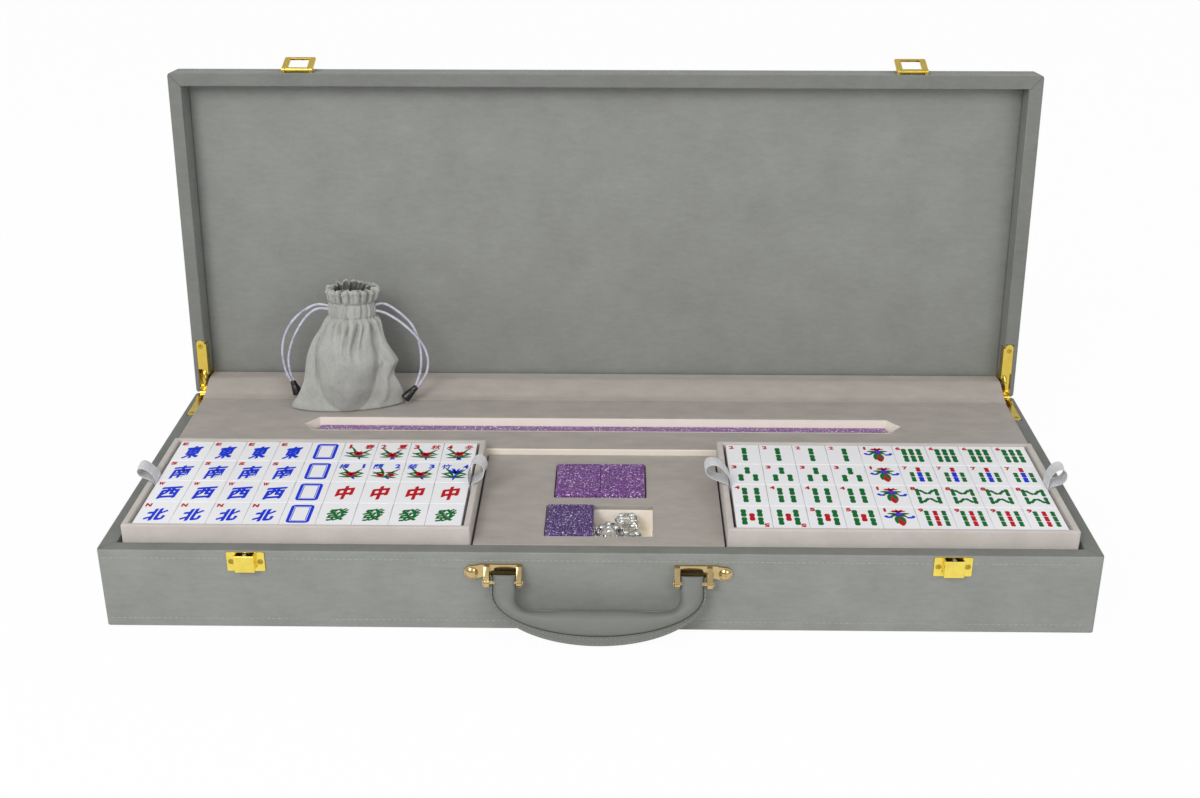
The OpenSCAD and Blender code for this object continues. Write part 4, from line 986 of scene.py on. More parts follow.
@dataclass
class Drawcords:
    """Two drawcords of the bag, each seen as two runs that end in one black cord end.

    Attributes:
        diameter: of the cord, mm.
        routes: points of each run, from the bag's channel down to the cord end, mm.
    """

    diameter: float = 2.4
    routes: dict[str, list[tuple[float, float, float]]] = field(default_factory=lambda: {
        "left_outer": [(-242.6, 126, 159), (-249, 127, 160), (-255, 127, 159.4), (-262, 127, 156), (-269, 127, 151),
                       (-276, 126, 144), (-281.4, 126, 135.6), (-285.2, 126, 126), (-287, 125, 115),
                       (-286.4, 125, 104), (-284.4, 124, 95), (-281, 122.8, 88.4)],
        "left_inner": [(-242.2, 124, 156.6), (-248, 124, 157.4), (-254, 124, 156.2), (-260, 124, 152),
                       (-265.6, 124, 146), (-270.4, 123, 138.8), (-275.2, 123, 130), (-279, 122.6, 120),
                       (-281.2, 122, 110), (-281.2, 121.6, 101), (-279.8, 121.4, 94), (-277.8, 121.4, 89.4)],
        "right_outer": [(-203.5, 127, 159), (-197, 128, 160.6), (-191, 128, 159.6), (-184, 127, 155.6),
                        (-176.6, 127, 149), (-170, 127, 141), (-165.6, 126, 131), (-163.2, 124, 121),
                        (-162.2, 121, 112), (-162.8, 117.6, 102), (-164.8, 115, 95), (-167.2, 112.6, 88.8)],
        "right_inner": [(-203.9, 124, 155.4), (-198, 124, 155), (-191.6, 124, 152.8), (-185, 123.6, 149),
                        (-178, 123, 144), (-170.6, 122, 137.4), (-163.4, 121, 129.4), (-158, 120, 120),
                        (-156, 119, 110), (-157, 117, 101), (-160.8, 115, 93.6), (-165.6, 113.4, 87.2)],
    })
    ends: dict[str, tuple[tuple[float, float, float], tuple[float, float, float]]] = field(default_factory=lambda: {
        "left": ((-279.5, 122.2, 88.2), (-275.2, 121, 76.2)),
        "right": ((-166.6, 112.6, 87.4), (-177.2, 109.6, 77)),
    })

    def build(self) -> list[bpy.types.Object]:
        plugs = {side: piece(f"cord_end_{side}", self.cord_end(*line), [PLUG], "cord_ends")
                 for side, line in self.ends.items()}
        cords = []
        for name, points in self.routes.items():
            line = along(np.array(points), 60)
            cord = piece(f"drawcord_{name}", self.twisted(line), [CORD], "drawcords", sharp=60)
            cords.append(cord)
        return cords + list(plugs.values())

    def twisted(self, line: np.ndarray) -> Shape:
        """A braided cord: a tube whose radius has four shallow ridges that wind round it as it goes.

        The radius at angle a and run s is the cord's radius times 0.96 plus 0.04 cos(4 (a + s / 1.6)).
        """
        side, top = frames_along(line, (0, 1, 0))
        angle = turn_angles(16)[None]
        run = np.linspace(0, run_of(line), len(line))[:, None]
        radius = self.diameter / 2 * (0.96 + 0.04 * np.cos(4 * (angle + run / 1.6)))
        rings = line[:, None] + (radius * np.cos(angle))[..., None] * side[:, None] + (
            radius * np.sin(angle))[..., None] * top[:, None]
        return loft(rings)

    def cord_end(self, top: Sequence[float], foot: Sequence[float]) -> Shape:
        """A moulded bell: rings on the line from top to foot, small at the top, flared and rounded below."""
        share = np.array([0.0, 0.02, 0.1, 0.22, 0.3, 0.34, 0.6, 0.85, 0.95, 0.99, 1.0])
        radius = np.array([1.6, 2.2, 2.6, 2.8, 2.75, 3.1, 3.8, 4.4, 4.5, 4.2, 3.4])
        return tube(top + share[:, None] * np.subtract(foot, top), radius, 20, (0, 1, 0))


@dataclass
class Bag:
    """Velvet drawstring bag that stands on the deck: a lofted shell, gathered at the channel, with an open ruffle.

    Attributes:
        foot_z: height of the deck.
        outline: rows of height, left edge, right edge, front and rear, mm.
    """

    foot_z: float = 71.3
    outline: np.ndarray = field(default_factory=lambda: np.array([
        (71.3, -272.5, -182.5, 93.0, 117.5), (73.0, -276.4, -179.0, 90.8, 119.5), (77, -275.6, -178.4, 89.4, 121.0),
        (82, -272.0, -178.0, 88.4, 122.0), (88, -268.6, -179.2, 87.0, 123.6), (94, -266.2, -181.6, 86.4, 126.0),
        (100, -264.8, -184.4, 86.0, 128.6), (105, -264.2, -184.8, 85.8, 130.6), (110, -263.4, -182.8, 85.8, 132.2),
        (114.5, -262.6, -181.0, 86.2, 133.4), (120, -261.2, -184.6, 87.4, 134.6), (130, -257.2, -191.2, 93.0, 135.8),
        (140, -250.6, -195.0, 101.6, 136.8), (147, -246.0, -197.4, 106.6, 137.2), (152, -242.4, -201.4, 110.0, 137.6),
        (158, -241.4, -202.4, 111.2, 137.8), (164, -240.8, -202.6, 110.8, 137.6), (169, -241.2, -200.8, 109.4, 137.6),
        (174, -241.4, -199.2, 108.6, 137.4), (178, -241.0, -199.2, 109.0, 137.2),
    ]))
    belly: np.ndarray = field(default_factory=lambda: np.array([
        (71.3, -226, -222, 0.0), (74, -233, -215, 1.6), (79, -241, -209.5, 4.6), (87, -247, -205, 7.6),
        (101, -251.4, -200.4, 10.0), (112, -252.6, -198, 10.2), (125, -252.4, -197.6, 8.4), (136, -248, -200, 5.4),
        (144, -243, -203, 2.4), (150, -240, -204, 0.0), (180, -240, -204, 0.0),
    ]))
    columns: int = 224

    def build(self) -> bpy.types.Object:
        """Make the bag."""
        rows = np.concatenate([np.linspace(*span) for span in ((self.foot_z, 74, 5), (75, 150, 58), (151, 166, 22),
                                                               (167, 177, 14))])
        outer, inner = self.surface(rows, 0.0), self.surface(np.linspace(176.6, 168, 16), 2.3)
        lip = outer[-1:] + (inner[:1] - outer[-1:]) * np.array([0.2, 0.5, 0.8])[:, None, None]
        lip[..., 2] += np.array([0.8, 1.15, 0.8])[:, None]
        centre = np.array([(self.outline[0, 1] + self.outline[0, 2]) / 2, 106.0, self.foot_z])
        foot = centre + (outer[:1] - centre) * np.array([0.03, 0.4, 0.8, 0.95])[:, None, None]
        foot[..., 2] = self.foot_z
        middle = inner[-1:].mean(axis=1, keepdims=True)
        throat = middle + (inner[-1:] - middle) * 0.05
        throat[..., 2] = 167.0
        shape = loft(np.concatenate([foot, outer, lip, inner, throat]))
        # faces inside the mouth, below the lip, get the darker velvet: painted shade in the gathered throat
        below_lip = np.arange(len(shape.sizes)) // self.columns > len(foot) + len(rows) + len(lip) + 1
        shape.paint = below_lip.astype(int)
        return piece("bag", shape, [VELVET, VELVET_PAINTED_SHADE], "drawstring_bag", sharp=80)

    def surface(self, heights: np.ndarray, inset: float) -> np.ndarray:
        """Rings of the bag's skin.

        A ring runs from side to side with the cosine of an angle. Its depth goes with the sine to a power of 1 to
        1.3 behind and of 1 to 1.5 in front, so that both ends are pointed where the halves are sewn. Between two
        creases the belly stands out by its depth times (4u(1-u)) to the power 0.7. Pleats, long folds and the frill
        move it in and out.

        Args:
            heights: heights of the rings.
            inset: how far inside the skin they lie.
        """
        z = np.clip(heights, self.outline[0, 0], self.outline[-1, 0])
        left, right, front, rear = smooth_table(self.outline, z)
        from_x, to_x, depth = smooth_table(self.belly, z)
        angle = turn_angles(self.columns)[None]
        z = heights[:, None]
        c, s = np.cos(angle), np.sin(angle)
        x = (left + right) / 2 + (right - left) / 2 * c
        low = fade(z, 150, 132)
        middle = (front + rear) / 2 + 6.0 * c * fade(z, 110, 72) * low
        u = np.clip((x - from_x) / np.maximum(to_x - from_x, 1e-3), 0, 1)
        depth = np.maximum(depth, 0)
        bulge = depth * (4 * u * (1 - u)) ** 0.7
        crease = low * 3.2 * (fade(z, 84, 104) * bell(x, from_x, 1.6) + 0.8 * fade(z, 92, 112) * bell(x, to_x, 2.2))
        wing = ((rear - front) / 2 - depth) * np.abs(s) ** (1 + 0.5 * low)
        y = np.where(s < 0, middle - wing - bulge + crease, middle + (rear - front) / 2 * np.abs(s) ** (1 + 0.3 * low))
        push = self.pleats(angle, z) + self.long_folds(c, s, z) - inset
        size = np.sqrt((c * 0.8) ** 2 + s ** 2)
        wave = 1.1 * np.sin(4 * angle + 0.9) + 1.3 * np.abs(np.sin(8.5 * angle + 0.6)) + 0.5 * np.sin(14 * angle)
        lift = fade(z, 165, 177) * wave
        return np.stack([x + push * c * 0.8 / size, y + push * s / size, z + lift], axis=2)

    def pleats(self, angle: np.ndarray, z: np.ndarray) -> np.ndarray:
        """Pleats of the gathered channel, which fade below it, and the rolled frill above it."""
        wander = angle + 0.10 * np.sin(3 * angle + 0.7) + 0.05 * np.sin(z / 7.0)
        pleat = np.sin(25 * wander) + 0.5 * np.sin(37 * wander + 1.3)
        channel = 0.75 * fade(z, 138, 152) * fade(z, 170, 163)
        below = 0.8 * fade(z, 132, 148) * fade(z, 155, 149) * np.sin(13 * wander + 0.9)
        band = 1.3 * (bell(z, 151.4, 1.0) + bell(z, 164.4, 1.1))
        groove = 4.6 * (1 - np.abs(np.sin(8.5 * wander + 0.4))) ** 2 + 3.4 * (1 - np.abs(np.sin(6 * wander + 2))) ** 3
        frill = fade(z, 162.5, 169) * (1.6 + 1.3 * np.sin(5 * wander + 2.2) + 0.5 * np.sin(27 * wander) - groove)
        return channel * pleat + below - band + frill + 1.2 * bell(z, 175.2, 1.3) + bell(z, 158, 4.2)

    def long_folds(self, c: np.ndarray, s: np.ndarray, z: np.ndarray) -> np.ndarray:
        """Long folds of the front and rear: each a ridge or groove across a line that moves over as it falls.

        A fold's depth falls off with the square of the distance from its line, and fades at its two ends.
        """
        front, rear = np.clip(-s * 3, 0, 1), np.clip(s * 3, 0, 1)
        total = np.zeros(np.broadcast(c, z).shape)
        for at_top, at_foot, high, low, width, depth in (
                (-0.40, -0.22, 151, 134, 0.045, -2.4), (-0.08, -0.03, 151, 131, 0.042, -3.6),
                (0.34, 0.20, 151, 129, 0.05, -3.2), (0.60, 0.44, 151, 134, 0.05, -1.6),
                (-0.66, -0.52, 150, 138, 0.05, -1.6), (-0.24, -0.10, 150, 122, 0.06, 1.7),
                (0.13, 0.07, 150, 119, 0.075, 2.4), (0.47, 0.30, 150, 126, 0.06, 1.5),
                (-0.52, -0.30, 149, 130, 0.08, 1.2), (0.80, 0.74, 149, 112, 0.07, -3.2),
                (0.90, 0.88, 126, 106, 0.08, 1.8), (0.86, 0.62, 106, 76, 0.07, 1.6),
                (-0.93, -0.80, 134, 104, 0.05, -1.2), (0.05, 0.12, 100, 80, 0.30, 0.8),
                (-0.35, -0.28, 96, 78, 0.16, -0.9), (0.30, 0.24, 92, 74, 0.10, -0.8)):
            line = at_foot + (at_top - at_foot) * np.clip((z - low) / (high - low), 0, 1) ** 1.3
            ends = fade(z, high + 4, high - 6) * fade(z, low - 10, low + 10)
            total += front * 1.35 * depth * bell(c, line, width) * ends
        for at, width, depth in ((-0.5, 0.12, -2.2), (-0.1, 0.16, 2.0), (0.25, 0.1, -2.4), (0.6, 0.14, 1.4)):
            total += rear * depth * bell(c, at, width) * fade(z, 150, 138) * fade(z, 72, 96)
        return total


def smooth_table(table: np.ndarray, wanted: np.ndarray) -> list[np.ndarray]:
    """Each further column of a table at the wanted values of its first, as a column, on a smooth line."""
    fine = [along(table[:, [0, k]], 400) for k in range(1, table.shape[1])]
    return [np.interp(wanted, line[:, 0], line[:, 1])[:, None] for line in fine]


def bell(value: np.ndarray, middle: np.ndarray | float, width: float) -> np.ndarray:
    """1 at the middle, falling off as e to minus the square of the distance over the width."""
    return np.exp(-((value - middle) / width) ** 2)


def fade(value: np.ndarray, none: float, full: float) -> np.ndarray:
    """A soft step: 0 at one value and 1 at the other, as 3 t squared less 2 t cubed between them."""
    t = np.clip((value - none) / (full - none), 0, 1)
    return t * t * (3 - 2 * t)


# ---------------------------------------------------------------- case


@dataclass
class Shell:
    """What base and lid share: outline, stitching along the front and sides, and a dark strip at each front corner that
    paints the shadow line of the seam there.
    """

    half: tuple[float, float] = (375.0, 145.0)
    wall: float = 11.6
    rounding: float = 1.15
    proud: float = 0.05

    def stitching(self, heights: Sequence[float], inset: float = 4.0) -> Shape:
        """A row of stitches along the front and both sides at each height."""
        (hx, hy), rows = self.half, []
        lines = [((-hx + inset, -hy - self.proud), (hx - inset, -hy - self.proud))]
        lines += [((x, -hy + inset), (x, hy - inset)) for x in (-hx - self.proud, hx + self.proud)]
        for z in heights:
            rows += [stitches(np.array([(*start, z), (*end, z)]), 4.4) for start, end in lines]
        return Shape.joined(rows)

    def seams(self, z: float, width: float = 0.7, flat: float = 0.24) -> Shape:
        """A thin strip across the rim at each front corner, from the inner corner to the outer one; in its dark finish
        it is a painted shadow line along the corner seam.
        """
        (hx, hy), bars = self.half, []
        for side in (-1, 1):
            inner = (side * (hx - self.wall + 0.6), 0.6 + self.wall - hy, z)
            outer = (side * (hx - 1.4), 1.4 - hy, z)
            bars.append(tube(np.linspace(inner, outer, 4), width / 2, 8, (0, 0, 1), flat / width))
        return Shape.joined(bars)


@dataclass
class CaseBase(Shell):
    """Base of the case: wrapped walls, bottom board, stitching and the dark corner strips, which paint the shadow of
    each corner seam.
    """

    high: float = 66.0

    def build(self) -> None:
        """Make the walls, bottom, stitching, painted seam shadow strips and riser pads."""
        # the rim's top faces get the darker leatherette as painted shade; the hinge slots get brass
        wrapped("base_frame", "base_walls", self.rounding, lambda at: on_rim(at, self.half, self.wall, (self.high,)),
                lambda at, out: ((np.abs(at[:, 2] - self.high) < ON_LINE) & (out[:, 2] > 0.9))
                + 2 * hinge_slots(at, self.high - at[:, 2]))
        x, y = (half - self.wall for half in self.half)
        piece("base_underside", block((-x, -y, 0.02), (x, y, 6.0), 0.4), [UNDER], "base_bottom")
        piece("base_stitches", self.stitching((59.2, 6.8)), [THREAD], body="base", slot="case_leather")
        # dark strip at each front corner: painted shadow along the seam
        piece("base_corner_seam_shadows", self.seams(self.high - self.proud), [SEAM_PAINTED_SHADOW], body="base", slot="case_leather")
        softened("riser_pads", "riser_foam", [FOAM], 0.8)


@dataclass
class Lid(Shell):
    """Lid of the case, made shut and then turned open about the hinge line."""

    pivot: tuple[float, float, float] = (0.0, 145.0, 66.15)
    open_deg: float = -94.55
    rim_z: float = 66.3
    board_z: float = 89.5
    top_z: float = 95.8
    panel_half: tuple[float, float] = (363.2, 133.2)
    panel_z: float = 86.5
    crown: float = 1.3

    def build(self) -> None:
        """Make the shell, the panel, the painted seam shadow strips and the stitching."""
        # the rim face gets the darker leatherette as painted shade; the hinge slots get brass
        wrapped("lid_shell", "lid_shell_wrap", self.rounding,
                lambda at: on_rim(self.shut(at), self.half, self.wall, (self.rim_z, self.top_z)),
                lambda at, out: ((np.abs(self.shut(at)[:, 2] - self.rim_z) < ON_LINE)
                                 & (out @ turn(self.open_deg, 0)[:, 2] < -0.9))
                + 2 * hinge_slots(self.shut(at), self.shut(at)[:, 2] - self.rim_z))
        piece("lid_panel_pad", self.opened(self.panel()), [PANEL], "lid_panel")
        # dark strip at each front corner: painted shadow along the seam
        seams = self.seams(-self.rim_z - self.proud).turned(180, 1)
        piece("lid_corner_seam_shadows", self.opened(seams), [SEAM_PAINTED_SHADOW], body="lid", slot="case_leather")
        rows = self.stitching((self.rim_z + 7.0, self.top_z - 6.0))
        piece("lid_stitches", self.opened(rows), [THREAD], body="lid", slot="case_leather")

    def shut(self, places: np.ndarray) -> np.ndarray:
        """Places on the open lid, as they are on the shut one."""
        return (places - self.pivot) @ turn(self.open_deg, 0) + self.pivot

    def opened(self, shape: Shape) -> Shape:
        """A shape of the shut lid, turned to where the lid rests."""
        return shape.turned(self.open_deg, 0, self.pivot)

    def panel(self) -> Shape:
        """Padded board: a block whose lower face is crowned.

        The crown at (u, v), shares of the half sizes, is its height times the root of (1 - u^40)(1 - v^24), so
        that the face is nearly flat and rolls off at the edges.
        """
        (hx, hy), (n, m) = self.panel_half, (74, 30)
        u, v = np.meshgrid(*(np.sin(np.linspace(-np.pi / 2, np.pi / 2, count)) for count in (n, m)), indexing="ij")
        edge = (1 - np.abs(u) ** 40) * (1 - np.abs(v) ** 24)
        front = self.panel_z + self.crown - self.crown * np.clip(edge, 0, 1) ** 0.5
        faces = [np.stack([u * hx, v * hy, z], axis=2) for z in (front, np.full_like(front, self.board_z - 0.02))]
        rim = np.concatenate([np.arange(m), np.arange(1, n) * m + m - 1, (n - 1) * m + np.arange(m - 2, -1, -1),
                              np.arange(n - 2, 0, -1) * m])
        after = np.roll(rim, -1)
        return Shape.of(np.concatenate([face.reshape(-1, 3) for face in faces]), quads(n, m),
                        quads(n, m)[:, ::-1] + n * m, np.stack([rim, after, after + n * m, rim + n * m], axis=1))


@dataclass
class RearDeck:
    """Raised deck with the rack slot, its racks, and the lining cloth that runs from it to the lid."""

    cloth_half: float = 361.6
    cloth_line: list[tuple[float, float]] = field(default_factory=lambda: [
        (119.4, 71.75), (126.0, 72.4), (132.0, 74.6), (138.5, 77.0), (144.6, 78.9), (148.0, 79.6), (151.6, 79.5),
        (157.0, 79.0), (163.2, 78.6)])

    def build(self) -> None:
        """Make the deck's covering, liner, racks and cloth."""
        softened("rear_deck", "deck_cover", [LINING, CREAM], 1.0, 3,
                 second=lambda at, out: (out[:, 1] < -0.9) & (at[:, 1] < 21.0))
        # the slot liner's lighter cream is painted light in the deep slot
        softened("rack_slot_liner", "slot_liner", [CREAM_PAINTED_LIGHT, LINING], 0.25,
                 second=lambda at, out: (out[:, 2] > 0.7) & (at[:, 2] > 70.0))
        for k in range(1, 5):
            lo, hi = (np.array(corner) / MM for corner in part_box(f"rack_{k}"))
            piece(f"rack_bar_{k}", block(lo, hi, 1.5, 4), [RACK], f"rack_{k}")
        self.cloth()

    def cloth(self) -> None:
        """The hinge cloth: a strip whose section is a smooth line, with slight waves along the case.

        Its height is the line's height plus 0.25 sin(x / 47) sin(pi v), where v runs from 0 to 1 across the strip.
        """
        line = along(np.array(self.cloth_line), 30)
        x = np.linspace(-self.cloth_half, self.cloth_half, 90)
        v = np.linspace(0, 1, len(line))
        half_thick = 0.5
        side = directions(np.gradient(line, axis=0)[:, ::-1] * (-1, 1))
        loop = np.concatenate([line + side * half_thick, (line - side * half_thick)[::-1]])
        wave = 0.25 * np.sin(x / 47)[:, None] * np.sin(np.pi * np.concatenate([v, v[::-1]]))[None]
        rings = np.stack(np.broadcast_arrays(x[:, None], loop[None, :, 0], loop[None, :, 1] + wave), axis=2)
        made = piece("hinge_strip", loft(rings), [STRIP], "hinge_cloth", rides=False)
        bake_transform(made)


@dataclass
class CentreInsert:
    """Insert between the trays, with its two wells, the spare tiles, the dealer block and the dice."""

    dice: list[tuple[tuple[float, float, float], float, int]] = field(default_factory=lambda: [
        ((21.4, -80.7, 53.1), 3, 6), ((24.3, -108.4, 53.1), -6, 4), ((7.3, -96.0, 53.1), 45, 5)])
    edge: float = 17.0
    ball: float = 11.6

    def build(self) -> None:
        """Make every piece of the insert."""
        softened("centre_insert", "insert_cover", [LINING], 0.8, 3)
        softened("spare_tile_well", "tile_well_liner", [CREAM], 0.25)
        # the dice well's lighter cream is painted light on the shaded pocket
        softened("dice_well", "dice_pocket_liner", [CREAM_PAINTED_LIGHT], 0.25)
        spots = [(sx * 17.975, -27.8 + sy * 13.8, 67.9) for sy in (-1, 1) for sx in (-1, 1)]
        body = Tiles.body((35.75, 27.4, 22.6), back_up=True)
        piece("spare_tile_backs", body.at(spots), [TILE, BACK], "spare_tiles")
        piece("dealer_block_body", block((-41.2, -118.6, 44.6), (-4.4, -70.2, 67.6), 1.6, 5), [BLOCK], "dealer_block")
        cubes = [self.cube().turned(degrees).at([place]) for place, degrees, _ in self.dice]
        pips = [self.pips(up).turned(degrees).at([place]) for place, degrees, up in self.dice]
        piece("dice_cubes", Shape.joined(cubes), [CLEAR], "dice")
        piece("dice_pips", Shape.joined(pips), [PIP], body=BODY_OF["dice"], slot="dice_clear")

    def cube(self) -> Shape:
        """A die: each direction on a sphere is pushed out to a cube's face, but no further than a ball's skin.

        The distance is the smaller of half the edge over the largest part of the direction and the ball's radius,
        blended softly. The directions are those of six gridded faces of a cube.
        """
        n = 13
        t = np.tan(np.linspace(-np.pi / 4, np.pi / 4, n))
        a, b = np.meshgrid(t, t, indexing="ij")
        sides = []
        for axis in range(3):
            for sign in (-1, 1):
                p = np.empty((n, n, 3))
                p[..., axis], p[..., (axis + 1) % 3], p[..., (axis + 2) % 3] = sign, a * sign, b
                sides.append(p.reshape(-1, 3))
        d = directions(np.concatenate(sides))
        flat = self.edge / 2 / np.abs(d).max(axis=1, keepdims=True)
        reach = (flat ** -14 + self.ball ** -14.0) ** (-1 / 14)
        cells = np.concatenate([quads(n, n) + k * n * n for k in range(6)])
        return welded(Shape.of(d * reach, cells))

    def pips(self, up: int) -> Shape:
        """Domed silver pips on all six faces of a die, with the given number on top."""
        dots = {1: [(0, 0)], 2: [(-1, -1), (1, 1)], 3: [(-1, -1), (0, 0), (1, 1)],
                4: [(-1, -1), (1, -1), (-1, 1), (1, 1)], 5: [(-1, -1), (1, -1), (-1, 1), (1, 1), (0, 0)],
                6: [(-1, -1), (-1, 0), (-1, 1), (1, -1), (1, 0), (1, 1)]}
        ring = [n for n in (1, 2, 3, 4, 5, 6) if n not in (up, 7 - up)]
        faces = [(0, 0, up), (180, 0, 7 - up), (90, 0, ring[0]), (-90, 0, ring[3]), (90, 1, ring[1]),
                 (-90, 1, ring[2])]
        a = np.radians(np.linspace(-90, 90, 7))
        dome = spun(np.stack([np.maximum(2.15 * np.cos(a), 0.05), 0.95 * np.sin(a)], axis=1), 14)
        top = self.edge / 2 - 0.12
        placed = {count: dome.at([(4.1 * u, (4.7 if count == 6 else 4.1) * v, top) for u, v in spots])
                  for count, spots in dots.items()}
        return Shape.joined([placed[count].turned(degrees, axis) for degrees, axis, count in faces])


def grid(columns: Iterable[float], rows: Sequence[float]) -> list[tuple[float, float]]:
    """Places of a grid, column by column."""
    return [(x, y) for x in columns for y in rows]


def welded(shape: Shape) -> Shape:
    """The shape with points that coincide joined to one."""
    _, first, back = np.unique(np.round(shape.points, 4), axis=0, return_index=True, return_inverse=True)
    return Shape(shape.points[first], back.ravel()[shape.corners], shape.sizes, shape.paint)


# ---------------------------------------------------------------- trays and tiles


class TrayPlace(Enum):
    """Where a tray sits: its name in the frame, the side and the height of its underside in mm."""

    LOWER_LEFT = ("lower_left", -1, 24.4)
    LOWER_RIGHT = ("lower_right", 1, 24.4)
    UPPER_LEFT = ("upper_left", -1, 52.2)
    UPPER_RIGHT = ("upper_right", 1, 52.2)

    @property
    def label(self) -> str:
        """Name as the CAD nodes have it."""
        return self.value[0]

    @property
    def centre(self) -> tuple[float, float, float]:
        """Middle of the tray's underside."""
        return (self.value[1] * 227.7, -56.4, self.value[2])

    @property
    def faces(self) -> list[list[str]]:
        """Names of the tile faces, in rows from rear to front."""
        rows_of = {
            "upper_left": "E E E E frame s1 s2 s3 s4;S S S S frame p1 p2 p3 p4;W W W W frame mid mid mid mid;"
                          "N N N N frame fa fa fa fa",
            "upper_right": "b2 b2 b2 b2 b1 b6 b6 b6 b6;b3 b3 b3 b3 b1 b7 b7 b7 b7;b4 b4 b4 b4 b1 b8 b8 b8 b8;"
                           "r5 r5 b5 b5 b1 b9 b9 b9 b9",
            "lower_left": ";".join([" ".join(f"c{k}" for k in range(1, 10))] * 4),
            "lower_right": ";".join([" ".join(f"d{k}" for k in range(1, 10))] * 4),
        }
        return [row.split() for row in rows_of[self.label].split(";")]


class Ink(Enum):
    """Paint numbers of the inks."""

    BLUE = 0
    RED = 1
    GREEN = 2


